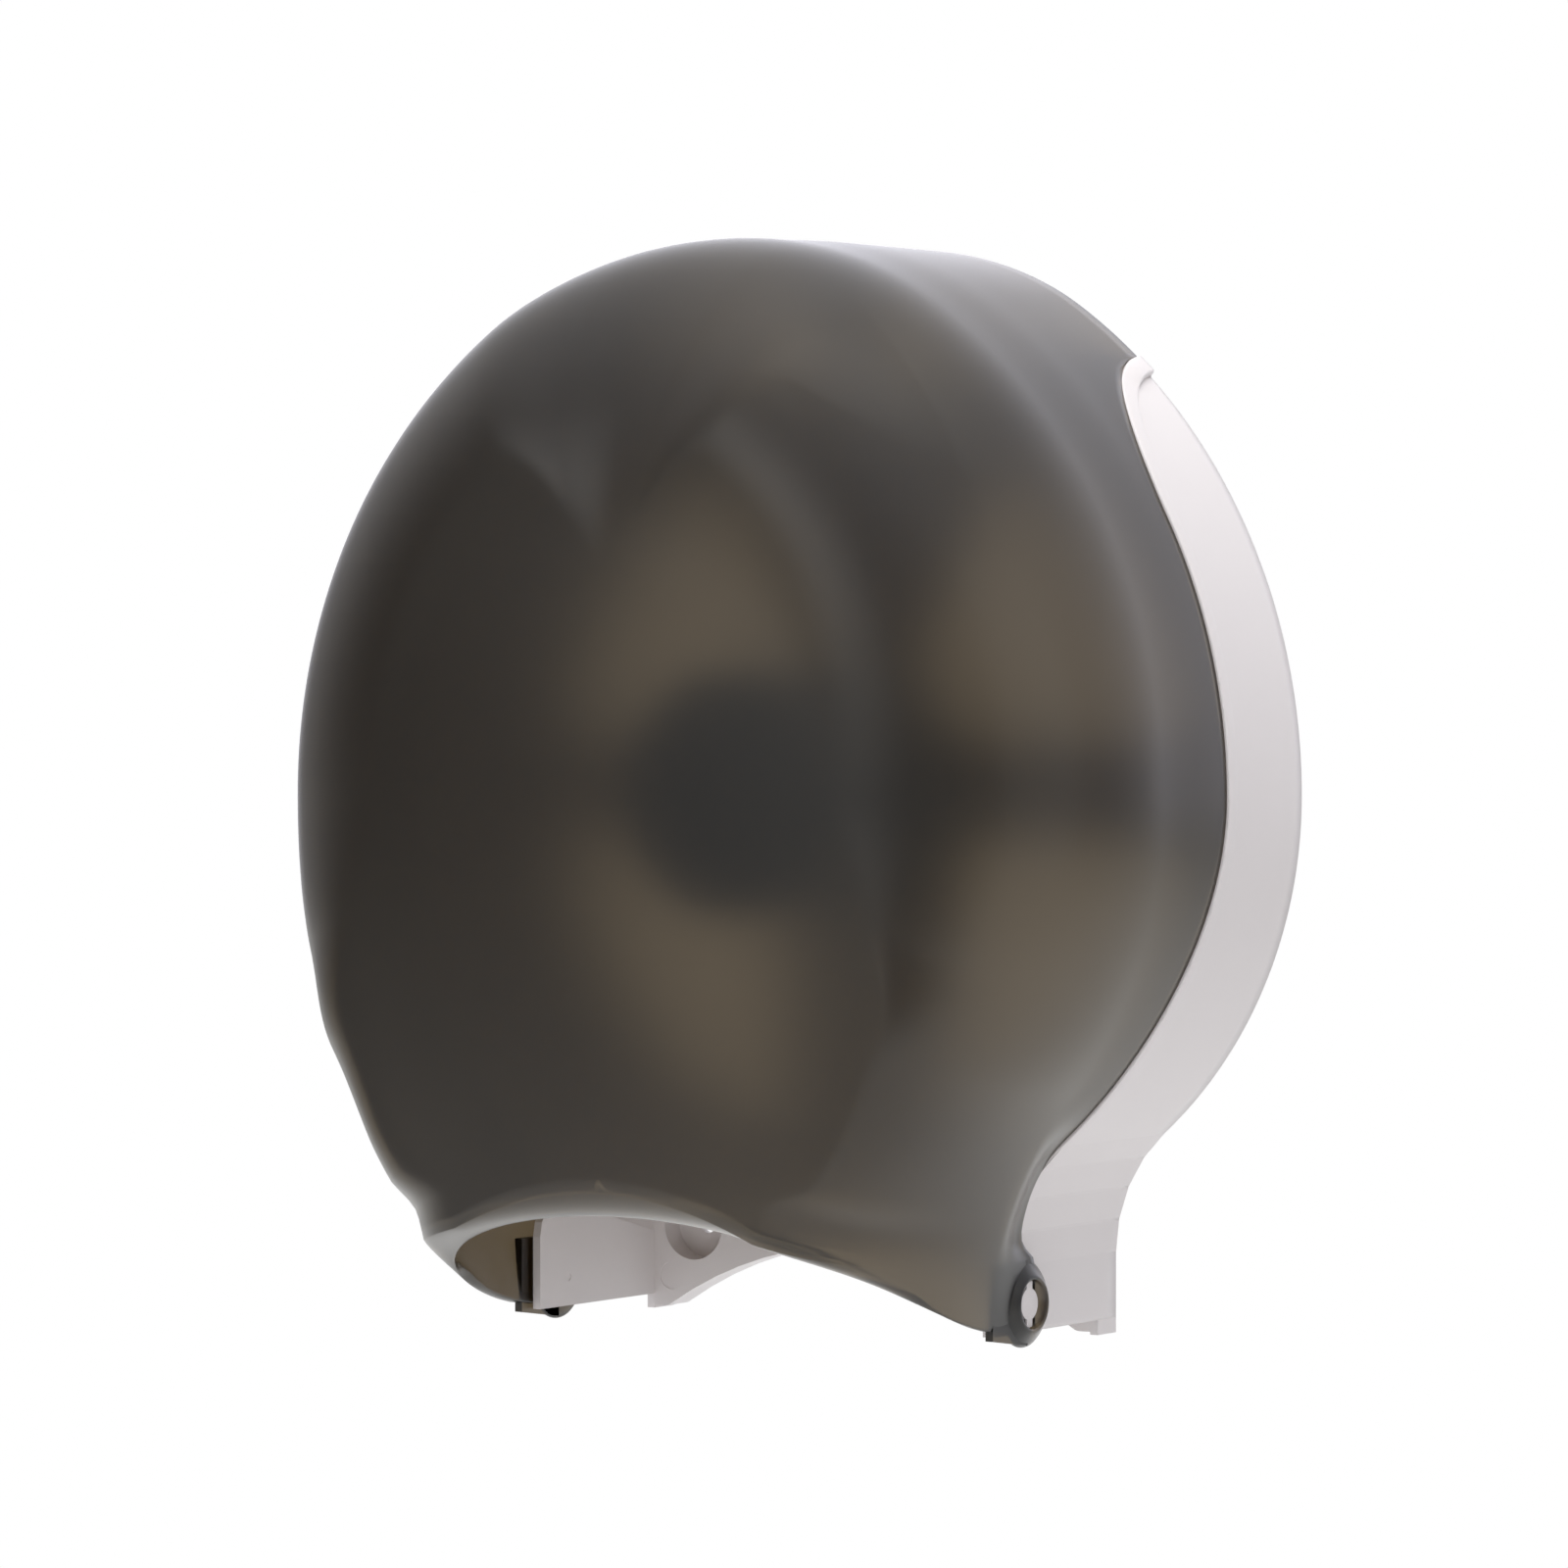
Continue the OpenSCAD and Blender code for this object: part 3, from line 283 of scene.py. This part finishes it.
# The bead: a rounded bar's profile carried along the front edge, round the upper corner and back to the wall,
# where it stands out more. It fades into the leg.
BEAD_END, BEAD_FADE, BEAD_W, BEAD_H, BEAD_R, BEAD_LAP = -124.5, 10.0, 4.45, 1.0, 0.55, 0.22
LOW_PROUD, MORE_PROUD, PROUD_FROM, PROUD_OVER = 0.8, 1.3, 10.7, 8.0
BEAD_START, LEAST_FADE, LEAST_DEPTH, ROOT, ROOT_SIDE, ROOT_IN = 2.0, 0.02, 0.05, 2.45, 1.0, 0.6
turn = np.radians(np.append(np.arange(84.8, 0, -2.5), 0))
down = np.arange(PLATE_TOP - CORNER_R - BEAD_START, BEAD_END, -STEP_Z)
line = np.concatenate([np.stack([RIM_D - CORNER_R + CORNER_R * np.cos(turn),
                                 PLATE_TOP - CORNER_R + CORNER_R * np.sin(turn)], 1),
                       np.stack([rim_at(down), down], 1)])
along = unit(np.gradient(line, axis=0))
inward = np.stack([along[:, 1], -along[:, 0]], 1)
fade = np.sqrt(np.clip((line[:, 1] - BEAD_END) / BEAD_FADE, LEAST_FADE, 1))
proud = LOW_PROUD + MORE_PROUD * (1 - ease((line[:, 0] - PROUD_FROM) / PROUD_OVER))
quarter = np.radians(np.linspace(0, 90, 6))
rise = BEAD_H - BEAD_R + BEAD_R * np.sin(quarter)
profile = [*zip(BEAD_R - BEAD_LAP - BEAD_R * np.cos(quarter), rise),
           *zip((BEAD_W - BEAD_R + BEAD_R * np.cos(quarter))[::-1], rise[::-1]),
           (BEAD_W, -ROOT_SIDE), (ROOT_IN, -ROOT), (-BEAD_LAP, -ROOT)]
rows = []
for width, height in profile:
    lift = height * proud / BEAD_H * fade if height > 0 else np.full(len(line), height)
    place = line + inward * width
    out = wall_out(place[:, 1])
    rows.append(np.stack([wall_x(place[:, 1]) + out[:, 0] * lift, -np.maximum(place[:, 0], LEAST_DEPTH),
                          place[:, 1] + out[:, 1] * lift], 1))
points, faces = mirrored(np.concatenate(rows), capped_tube(len(rows), len(line)))
bead = object_from("plate_bead_skin", points, faces, white)
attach(bead, "base")


# POST, WASHERS, SCREWS AND STRIKE
# Zinc plated steel. The screws, washers and lock nut are turned or pressed and have faint cloudy plating. The
# strike and the lock's cam are cut from rolled sheet and show its lines.
zinc = Finish("zinc", (0.6, 0.6, 0.61), Metallic=1.0)
cloud = zinc.noise(160, 3)
zinc.color(cloud, (0.50, 0.50, 0.52), (0.68, 0.68, 0.69))
zinc.roughness(0.28 + cloud * 0.14)
zinc.relief(zinc.noise(1500), 0.00001)
zinc.put_on("post_screws", "thrust_washer", "retaining_washer", "retaining_screw", "strike_screws",
            "lock_washer", "lock_nut", "cam_washer", "cam_screw")
rolled = Finish("zinc_sheet", (0.58, 0.58, 0.6), Metallic=1.0)
drawn_out = rolled.add("Mapping", {}, {"Vector": rolled.place, "Scale": (1, 1, 14)})
lines = rolled.noise(300, at=drawn_out)
rolled.color(lines, (0.48, 0.48, 0.50), (0.66, 0.66, 0.68))
rolled.roughness(0.30 + lines * 0.15)
rolled.relief(lines, 0.000008)
rolled.put_on("strike", "lock_cam")


# HUB
# A dark grey moulded drum with a cap pressed into its front, finely grained. It turns on two pale acetal
# bushes that sit in its sleeve.
dark = Finish("dark_plastic", (0.04, 0.04, 0.042), IOR=1.5)
grain = dark.noise(1900)
dark.color(dark.noise(40, 3), (0.020, 0.019, 0.021), (0.030, 0.029, 0.031))
dark.roughness(0.46 + grain * 0.10)
dark.relief(grain, 0.00002)
dark.put_on("hub_drum", "hub_cap")
acetal = Finish("acetal", (0.75, 0.73, 0.68), IOR=1.48)
acetal.color(acetal.noise(90), (0.70, 0.68, 0.62), (0.77, 0.75, 0.70))
acetal.roughness(0.34 + acetal.noise(900, 1) * 0.08)
acetal.put_on("hub_bush_rear", "hub_bush_front")


# SMOKE COVER
# One moulded shell of finely frosted smoke plastic, through which the windows and the hub show. It curls into
# the lip of the paper slot, hangs on the plate's two pins by its ears and has the lock's seat in its crown.
smoke = Finish("smoke_plastic", (0.05, 0.046, 0.043), IOR=1.49, Transmission_Weight=1.0)
frost = smoke.noise(1400)
smoke.color(smoke.noise(22), (0.078, 0.058, 0.034), (0.088, 0.067, 0.041))
smoke.roughness(0.29 + frost * 0.05)
smoke.relief(frost, 0.000004)

# One row of points starts at each of these places on the outline. They are closer together where the back edge
# goes round the plate's upper corner.
COVER_LEG, WALL, GAP, BACK = 79.0, 2.6, 0.4, 0.5
ROW_STEP, FINE_STEP, LEAST_APART, ABOVE_CORNER, BELOW_CORNER = 2.6, 0.2, 0.012, 0.03, -0.01
_, _, part = outline(COVER_LEG, ROW_STEP)
fine_points, fine_normals, fine_part = outline(COVER_LEG, FINE_STEP)
corner_z = PLATE_TOP - CORNER_R + (CORNER_R + GAP) * np.sin(np.radians(np.arange(85, 20, -4)))
corner_z = np.append(PLATE_TOP + GAP + np.array([ABOVE_CORNER, BELOW_CORNER]), corner_z)
corner_part = np.interp(corner_z, fine_points[::-1, 1], fine_part[::-1])
kept = (np.abs(part[:, None] - corner_part).min(1) > LEAST_APART) | np.isin(part, (0, 5))
part = np.sort(np.append(part[kept], corner_part))
rim, rim_n = (np.stack([np.interp(part, fine_part, values[:, i]) for i in (0, 1)], 1)
              for values in (fine_points, fine_normals))
rim_n = unit(rim_n)
z = rim[:, 1]

# Below the roll's axis the front keeps to the hip for longer and then takes a wider hollow
FRONT_FLARE = 123.0
hip_x = HALF_W - HIP_R
across = COVER_LEG + FRONT_FLARE - hip_x
centre = np.array([COVER_LEG + FRONT_FLARE, -sqrt((HIP_R + FRONT_FLARE) ** 2 - across ** 2)])
below, in_hollow = z < 0, z <= centre[1] * HIP_R / (HIP_R + FRONT_FLARE)
hollow_x = centre[0] - np.sqrt(np.maximum(0, FRONT_FLARE ** 2 - (z - centre[1]) ** 2))
hip_now = hip_x + np.sqrt(np.maximum(0, HIP_R ** 2 - z ** 2))
front = np.stack([np.select([in_hollow, below], [hollow_x, hip_now], rim[:, 0]), z], 1)
front_n = np.select([in_hollow[:, None], below[:, None]],
                    [(front - centre) / FRONT_FLARE, ([hip_x, 0] - front) / HIP_R], rim_n)


def smooth_through(x, xs, ys):
    """Monotone Hermite cubic through control values, so that the rounding changes without a crease.

    The slope at a value is the weighted harmonic mean of the slopes on both sides, or none at a turn or end.
    """
    xs, ys = np.array(xs, float), np.array(ys, float)
    width = np.diff(xs)
    slope, slopes = np.diff(ys) / width, np.zeros(len(xs))
    for i in range(1, len(xs) - 1):
        if slope[i - 1] * slope[i] > 0:
            before, after = 2 * width[i] + width[i - 1], width[i] + 2 * width[i - 1]
            slopes[i] = (before + after) / (before / slope[i - 1] + after / slope[i])
    i = np.clip(np.searchsorted(xs, x) - 1, 0, len(xs) - 2)
    t = (x - xs[i]) / width[i]
    return ((2 * t ** 3 - 3 * t ** 2 + 1) * ys[i] + (t ** 3 - 2 * t ** 2 + t) * width[i] * slopes[i]
            + (3 * t ** 2 - 2 * t ** 3) * ys[i + 1] + (t ** 3 - t ** 2) * width[i] * slopes[i + 1])


# The rounding's width as a share of its depth: at the ends of the upper arcs, and below the roll's axis
BODY_D, DOME, ROUND_R, DRAFT = 146.8, 3.0, 68.0, 0.028
UPPER_SHARES = (1.29, 1.15, 0.80, 0.87)
LOWER_HEIGHTS, LOWER_SHARES = (0, 50, 78, 100, 110, 120, 127), (0.87, 0.65, 0.38, 0.30, 0.34, 0.52, 0.52)
ROUND_D = BODY_D - DOME - ROUND_R
upper = smooth_through(np.clip(part, 0, 3), range(4), UPPER_SHARES)
lower = smooth_through(np.clip(-z, 0, LOWER_HEIGHTS[-1]), LOWER_HEIGHTS, LOWER_SHARES)
inset = ROUND_R * np.where(z > 0, upper, lower)
lean = DRAFT * (ROUND_D - rim_at(z))

# The front's dome
DOME_HALF_W, DOME_HALF_H, DOME_Z, DOME_FALL = 80.0, 100.0, -30.0, 6.0


def front_depth(x, z):
    """Depth of the front: it falls by the square of the way to the dome's rim and less and less past it."""
    r = np.hypot(x / DOME_HALF_W, (z - DOME_Z) / DOME_HALF_H)
    past = 1 + (1 - np.exp(DOME_FALL * (1 - np.maximum(r, 1)))) * 2 / DOME_FALL
    return BODY_D - DOME * np.where(r < 1, r * r, past)


# Each row runs along the side wall, which flares at its back, over the rounding and in to the middle plane
SIDE, ROUND, FRONT = 14, 26, 26
BACK_FLARE, FLARE_FROM, FLARE_OVER = 1.3, 5.0, 53.0
FAN_SHARE, FAN_GROWTH = 0.55, 0.35
edge = np.where(z > PLATE_TOP + GAP, BACK, np.maximum(BACK, edge_at(z, GAP)))[:, None]
along_side = np.arange(SIDE) / SIDE
depth = edge + (ROUND_D - edge) * along_side
base = (rim_at(z) + GAP)[:, None]
flare = np.where(z > 0, BACK_FLARE * np.clip((rim[:, 0] - FLARE_FROM) / FLARE_OVER, 0, 1), 0)[:, None]
flare = flare * np.clip(1 - (depth - BACK) / (base - BACK), 0, 1)
leant = front + front_n * lean[:, None]
place = rim[:, None] + (leant - rim)[:, None] * ease((depth - base) / (ROUND_D - base))[..., None]
place = place - rim_n[:, None] * flare[..., None]
side = np.stack([place[..., 0], depth, place[..., 1]], 2)

angle = pi / 2 * np.arange(ROUND) / ROUND
place = leant[:, None] + front_n[:, None] * (inset[:, None] * (1 - np.cos(angle)))[..., None]
depth = ROUND_D + (front_depth(place[..., 0], place[..., 1]) - ROUND_D) * np.sin(angle)
rounding = np.stack([place[..., 0], depth, place[..., 1]], 2)

t = np.arange(FRONT) / (FRONT - 1)
start_x, start_z = (leant + front_n * inset[:, None]).T
fan_z = FAN_SHARE * start_z[0] * np.arctan2(start_z, start_x) / (pi / 2)
low_z = start_z * (FAN_SHARE + FAN_GROWTH * np.clip(start_z / start_z[-1], 0, 1))
middle_z = np.where(start_z > 0, fan_z, low_z)
x = start_x[:, None] * (1 - t)
height = start_z[:, None] + (middle_z - start_z)[:, None] * t * (2 - t)
face = np.stack([x, front_depth(x, height), height], 2)
spokes = np.concatenate([side, rounding, face], 1)

# The lip's edge is an ellipse from the front and a corner rounded by third powers from above. The rows down to
# it take the mean of a straight way and a quarter wave.
LIP_SIDE, LIP_RISE, LIP_CURL, LEG_D, LIP_TURN, LIP_ROWS = 145.0, 32.7, 10.9, 67.5, radians(52), 14
leg_start = rim_at(-LIP_SIDE) + GAP
leg_depth = leg_start + (LEG_D - leg_start) * along_side
leg_edge = np.stack(np.broadcast_arrays(COVER_LEG, leg_depth, -LIP_SIDE), 1)
angle = np.append(LIP_TURN * np.arange(ROUND) / ROUND, np.arccos(np.maximum(0, cos(LIP_TURN) * (1 - t))))
lip_d = LEG_D + (BODY_D - LIP_CURL - LEG_D) * (1 - np.cos(angle) ** 3) ** (1 / 3)
lip = np.stack([COVER_LEG * np.cos(angle), lip_d, -LIP_SIDE + LIP_RISE * np.sin(angle)], 1)
lip = np.concatenate([leg_edge, lip])
s = np.arange(1, LIP_ROWS + 1)[:, None, None] / LIP_ROWS
sunk, forward = (s + np.sin(s * pi / 2)) / 2, (s + 1 - np.cos(s * pi / 2)) / 2
outer = np.concatenate([spokes, spokes[-1] + (lip - spokes[-1]) * np.concatenate([sunk, forward, sunk], 2)])

# Behind the rim's lower end the edge turns back to the ear
HINGE_D, HINGE_Z, PIN_R, EAR_R, EAR_LAP = 53.5, -138.4, 4.4, 12.0, 0.6
TURN_RISE, TURN_EASE, TURN_D, TURN_BOW, CUT_EASE, CUT_SINK, CUT_BOW = 5.0, 4.0, 56.2, 1.2, 1.0, 2.0, 0.8
cut_d, cut_z = HINGE_D - PIN_R, HINGE_Z + EAR_R - EAR_LAP
turn_z = cut_z + TURN_RISE
low = outer[:, 0, 2] < turn_z + TURN_EASE
low_edge = np.interp(-outer[low, 0, 2], [-turn_z - TURN_EASE, -turn_z, -cut_z - CUT_EASE, -cut_z + CUT_SINK],
                     [TURN_D + TURN_BOW, TURN_D, cut_d + CUT_BOW, cut_d])[:, None]
outer[low, :SIDE, 1] = low_edge + (outer[low, SIDE, 1][:, None] - low_edge) * along_side

# The inner sheet lies one wall inwards along the normals. On the front they come from the dome, elsewhere from
# the grid, and they are softened where the rows turn into the lip.
PROBE, LIP_BLEND, SOFTENINGS = 0.5, 6, 10
normals = unit(np.cross(np.gradient(outer, axis=0), np.gradient(outer, axis=1)))
normals[:, -1, 0] = 0
normals[0, :, 0] = 0
slope_x = front_depth(x - PROBE, height) - front_depth(x + PROBE, height)
slope_z = front_depth(x, height - PROBE) - front_depth(x, height + PROBE)
normals[:len(spokes), SIDE + ROUND:] = np.stack([slope_x, np.ones(x.shape), slope_z], 2)
normals = unit(normals)
first = len(spokes) - 1 - LIP_BLEND
for _ in range(SOFTENINGS):
    around = (normals[first - 1:-2, 1:-1] + normals[first + 1:, 1:-1]
              + normals[first:-1, :-2] + normals[first:-1, 2:])
    normals[first:-1, 1:-1] = (normals[first:-1, 1:-1] * 2 + around) / 6
    normals = unit(normals)
inner = outer - normals * WALL
inner[0, :, 0] = 0
inner[:, -1, 0] = 0

BACK_ROUND, LIP_ROUND, MERGE = 0.3, 0.5, 0.002


def half_round(outside, inside, outwards, rise):
    """Points of a rounded edge: middle plus half the wall times cosine, plus the way outwards times sine."""
    angle = np.radians([18, 54, 90, 126, 162])[:, None, None]
    wall = (outside - inside) / 2 * np.cos(angle)
    return (outside + inside) / 2 + wall + unit(outwards) * rise * np.sin(angle)


def shell(outer, inner):
    """Points and faces of one half: both sheets, the rounded back edge and lip, and the corner of the two."""
    back = half_round(outer[:, 0], inner[:, 0], outer[:, 0] - outer[:, 1], BACK_ROUND)
    lip = half_round(outer[-1], inner[-1], outer[-1] - outer[-2], LIP_ROUND)
    points, numbers = np.zeros((0, 3)), []
    for sheet in (outer, inner, back, lip):
        numbers.append(len(points) + np.arange(sheet[..., 0].size).reshape(sheet.shape[:2]))
        points = np.concatenate([points, sheet.reshape(-1, 3)])
    outer_n, inner_n, back_n, lip_n = numbers
    back_n = np.vstack([outer_n[:, 0], back_n, inner_n[:, 0]])
    lip_n = np.vstack([outer_n[-1], lip_n, inner_n[-1]])
    corner = np.stack([back_n[:, -1], lip_n[:, 0]], 1)
    tips = [[corner[0, 0], *corner[1]], [corner[-1, 0], *corner[-2, ::-1]]]
    faces = quads(outer_n) + quads(inner_n, flip=True) + quads(back_n) + quads(lip_n)
    return points, faces + quads(corner[1:-1], flip=True) + np.array(tips).tolist()


points, faces = mirrored(*shell(outer, inner))
cover = object_from("cover_skin", points * [1, -1, 1], faces, smoke)
work = bmesh.new()
work.from_mesh(cover.data)
bmesh.ops.remove_doubles(work, verts=work.verts, dist=MERGE * MM)
bmesh.ops.recalc_face_normals(work, faces=work.faces)
work.to_mesh(cover.data)
work.free()
cover.data.polygons.foreach_set("use_smooth", np.ones(len(cover.data.polygons), bool))


def turned(profile, steps):
    """A closed profile turned round its axis: the place along it, and the radius times cosine and sine."""
    along, radius = np.array(profile).T
    angle = np.linspace(0, 2 * pi, steps, endpoint=False)[:, None]
    return np.broadcast_arrays(along, radius * np.cos(angle), radius * np.sin(angle))


def ring_faces(steps, count, flip=False):
    """Faces of a grid of points that closes round both ways."""
    return quads(np.pad(np.arange(steps * count).reshape(steps, count), (0, 1), "wrap"), flip)


# Hinge ears: a low cone round the pocket of the pin's head, on a pad with rounded edges
EAR_STEPS, EAR_FIT, PAD_IN, PAD_T, FLOOR_T = 72, 0.05, 76.9, 1.1, 1.2
EAR_OUT, POCKET_R, MOUTH_R, SOFT, SMALL = 81.6, 6.65, 7.8, 0.5, 0.15
CONE_FOOT, CONE_HEAD = 1.15, 1.1
pad_out, floor_x, bore_r = PAD_IN + PAD_T, PAD_IN + FLOOR_T, PIN_R + EAR_FIT
ear_profile = [(PAD_IN, bore_r), (PAD_IN, EAR_R - SOFT), (PAD_IN + SMALL, EAR_R - SMALL),
               (PAD_IN + SOFT, EAR_R), (pad_out - 0.2, EAR_R), (pad_out + 0.25, EAR_R - SMALL),
               (pad_out + 1.2, EAR_R - CONE_FOOT), (EAR_OUT - CONE_HEAD, MOUTH_R + CONE_FOOT),
               (EAR_OUT - 0.3, MOUTH_R + 0.2), (EAR_OUT - EAR_FIT, MOUTH_R - 0.3),
               (EAR_OUT - EAR_FIT, POCKET_R + 0.35), (EAR_OUT - 0.4, POCKET_R), (floor_x, POCKET_R),
               (floor_x, bore_r)]
x, forward, up = turned(ear_profile, EAR_STEPS)
points = np.stack([x, -HINGE_D - forward, HINGE_Z + up], 2).reshape(-1, 3)
ears = object_from("ears", *mirrored(points, ring_faces(EAR_STEPS, len(ear_profile))), smoke)

# A nose joins each ear to the lip
NOSE_OUT, NOSE_D, NOSE_LOW = 0.3, 71.7, -147.2
nose_side = [(HINGE_D, HINGE_Z - EAR_R + EAR_LAP), (NOSE_D, NOSE_LOW), (NOSE_D, cut_z + EAR_LAP),
             (HINGE_D, cut_z + EAR_LAP)]
points = np.array([(x, -depth, height) for x in (PAD_IN, COVER_LEG + NOSE_OUT)
                   for depth, height in nose_side])
faces = [[0, 1, 2, 3], [7, 6, 5, 4], [0, 4, 5, 1], [1, 5, 6, 2], [2, 6, 7, 3], [3, 7, 4, 0]]
noses = object_from("noses", *mirrored(points, faces), smoke, smooth=False)

# Seat of the lock: a recess in the crown and a boss below it. The boss's faces point inwards, which makes it
# paler than the shell.
LOCK_D, LOCK_SINK, HEAD_R, HEAD_T, LOCK_R = 22.0, 0.3, 11.3, 2.2, 9.4
HEAD_FIT, LOCK_FIT, BOSS_R, BOSS_H, BOSS_SINK, CUTTER_H, LOCK_STEPS = 0.12, 0.05, 14.3, 5.0, 1.4, 12.0, 96
seat = TOP - LOCK_SINK - HEAD_T
bpy.ops.mesh.primitive_cylinder_add(vertices=LOCK_STEPS, radius=(HEAD_R + HEAD_FIT) * MM, depth=CUTTER_H * MM,
                                    location=(0, -LOCK_D * MM, (seat + CUTTER_H / 2 - LOCK_FIT) * MM))
cutter = bpy.context.object
trim = cover.modifiers.new("seat", "BOOLEAN")
trim.operation = "DIFFERENCE"
trim.solver = "EXACT"
trim.object = cutter
bpy.context.view_layer.update()
cut_mesh = bpy.data.meshes.new_from_object(cover.evaluated_get(bpy.context.evaluated_depsgraph_get()))
cover.modifiers.clear()
cover.data = cut_mesh
bpy.data.objects.remove(cutter)
boss_profile = [(seat - BOSS_H, LOCK_R + LOCK_FIT), (seat - BOSS_H, BOSS_R), (TOP - BOSS_SINK, BOSS_R),
                (TOP - BOSS_SINK, HEAD_R + HEAD_FIT), (seat - LOCK_FIT, HEAD_R + HEAD_FIT),
                (seat - LOCK_FIT, LOCK_R + LOCK_FIT)]
up, sideways, forward = turned(boss_profile, LOCK_STEPS)
points = np.stack([sideways, -LOCK_D - forward, up], 2).reshape(-1, 3)
boss = object_from("boss", points, ring_faces(LOCK_STEPS, len(boss_profile), flip=True), smoke, smooth=False)
bpy.ops.object.select_all(action="DESELECT")
for obj in (cover, ears, noses, boss):
    obj.select_set(True)
bpy.context.view_layer.objects.active = cover
bpy.ops.object.join()
cover.name = "cover_skin"
cover.data.materials.clear()
cover.data.materials.append(smoke.material)
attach(cover, "cover")
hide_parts("cover")


# LOCK
# A cam lock whose housing and plug are die cast and chromed, with a faintly uneven polish. A nut clamps it in
# the cover's seat from inside.
chrome = Finish("chrome", (0.7, 0.7, 0.72), Metallic=1.0)
wear = chrome.noise(400)
chrome.color(wear, (0.66, 0.66, 0.68), (0.78, 0.78, 0.80))
chrome.roughness(0.10 + wear * 0.08)
chrome.put_on("lock_housing", "lock_plug")


# FLOOR, ROOM, LIGHTS AND CAMERA
# A plain pale floor that looks white to the camera, through the cover and in reflections, where it is brighter
# near the object. Rays that met a dull piece and then go through the cover find it brighter too.
floor_finish = Finish("floor", (1, 1, 1), Base_Color=(0.8, 0.8, 0.8, 1), Roughness=0.9)
INSIDE_GAIN = 0.8
camera_ray, glossy, through, dull_bounces = floor_finish.rays()
distance = floor_finish.add("VectorMath", {"operation": "LENGTH"}, {0: floor_finish.place}, "Value")
far = (distance * 0.8 - 0.5).clamp()
gloss_gain = 0.5 - through * 0.1 - far * 0.7 * (1.0 - through)
inside = through * dull_bounces.clamp()
glow = floor_finish.add("Emission", {}, {"Strength": glossy * gloss_gain + inside * INSIDE_GAIN + 1.0})
seen = camera_ray.most(through).most(glossy)
dull = Wire(floor_finish, floor_finish.shader.outputs[0])
either = floor_finish.add("MixShader", {}, {0: seen, 1: dull, 2: glow})
floor_finish.fill(floor_finish.tree.nodes["Material Output"], {0: either})
bpy.ops.mesh.primitive_plane_add(size=8, location=(0, 0, -0.32))
floor = bpy.context.object
floor.name = "floor"
floor.data.materials.append(floor_finish.material)

# The room is white to the camera and through the cover. Reflections see a bright wall behind the object, a dim
# room in front of it and a light ceiling. For all other rays the room is grey, and darker on the wall's side.
world = bpy.data.worlds.new("studio")
bpy.context.scene.world = world
world.use_nodes = True
room = Graph(world.node_tree)
camera_ray, glossy, through, dull_bounces = room.rays()
direction = room.add("TexCoord", {}, {}, "Generated")
sideways, back, up = room.add("SeparateXYZ", {}, {0: direction}, 0, 1, 2)
behind = (back * 2.5 + 0.6).clamp() * ((sideways + back) * 1.6 + 0.5).clamp() * (1.4 - up * 1.7).clamp()
behind = behind * (1.0 - (sideways + 0.1).clamp() * 0.85) * glossy
wall_side = room.blend((back * 2.0).clamp(), (0.47, 0.47, 0.485), (0.22, 0.22, 0.23))
dim = (back * -1.3).clamp() * (0.35 - sideways * 2.0).clamp()
ahead = room.blend(dim, (0.34, 0.34, 0.36), (0.08, 0.08, 0.09))
above = room.blend(up.clamp(), ahead, (1.15, 1.15, 1.2))
light = room.blend(behind, room.blend(glossy, wall_side, above), (2.3, 2.3, 2.53))
inside = through * dull_bounces.clamp()
light = room.blend(camera_ray.most(through), light, (1, 1, 1))
room.fill(world.node_tree.nodes["Background"], {"Color": light, "Strength": inside * INSIDE_GAIN + 1.0})


def area_light(name, place, size, power):
    """A rectangular light of this size in metres and power in watts, turned to the object's middle."""
    light = bpy.data.lights.new(name, "AREA")
    light.shape = "RECTANGLE"
    light.size, light.size_y = size
    light.energy = power
    obj = bpy.data.objects.new(name, light)
    obj.location = place
    obj.rotation_euler = (Vector((0, -0.05, 0)) - Vector(place)).to_track_quat("-Z", "Y").to_euler()
    bpy.context.scene.collection.objects.link(obj)
    return obj


# A broad light above, a weak one on the right and one in front. Only the right one shows in reflections.
above_light = area_light("light_above", (0.25, -0.25, 1.3), (1.4, 1.2), 17)
area_light("light_right", (1.5, -0.35, 0.25), (1.0, 1.4), 2.0)
front_light = area_light("light_front", (-0.5, -1.9, 0.6), (1.2, 1.0), 9.5)
above_light.visible_glossy = front_light.visible_glossy = False

# The camera as fitted to the photo, in millimetres, metres and degrees. The point ahead of it is in pixels.
SENSOR, LENS, DISTANCE, TURN, TILT, CLIP_END = 36.0, 149.218, 1.858617, radians(32.256), radians(0.981), 50
PHOTO, AHEAD_X, AHEAD_Y = 1600, 904.617, 807.585
camera_data = bpy.data.cameras.new("camera")
camera_data.sensor_width = SENSOR
camera_data.lens = LENS
camera_data.shift_x = (PHOTO / 2 - AHEAD_X) / PHOTO
camera_data.shift_y = (AHEAD_Y - PHOTO / 2) / PHOTO
camera_data.clip_end = CLIP_END
camera = bpy.data.objects.new("camera", camera_data)
ahead = Vector((-sin(TURN) * cos(TILT), cos(TURN) * cos(TILT), -sin(TILT)))
camera.location = -ahead * DISTANCE
camera.rotation_euler = ahead.to_track_quat("-Z", "Y").to_euler()
bpy.context.scene.collection.objects.link(camera)
bpy.context.scene.camera = camera
bpy.context.scene.view_settings.view_transform = "Standard"
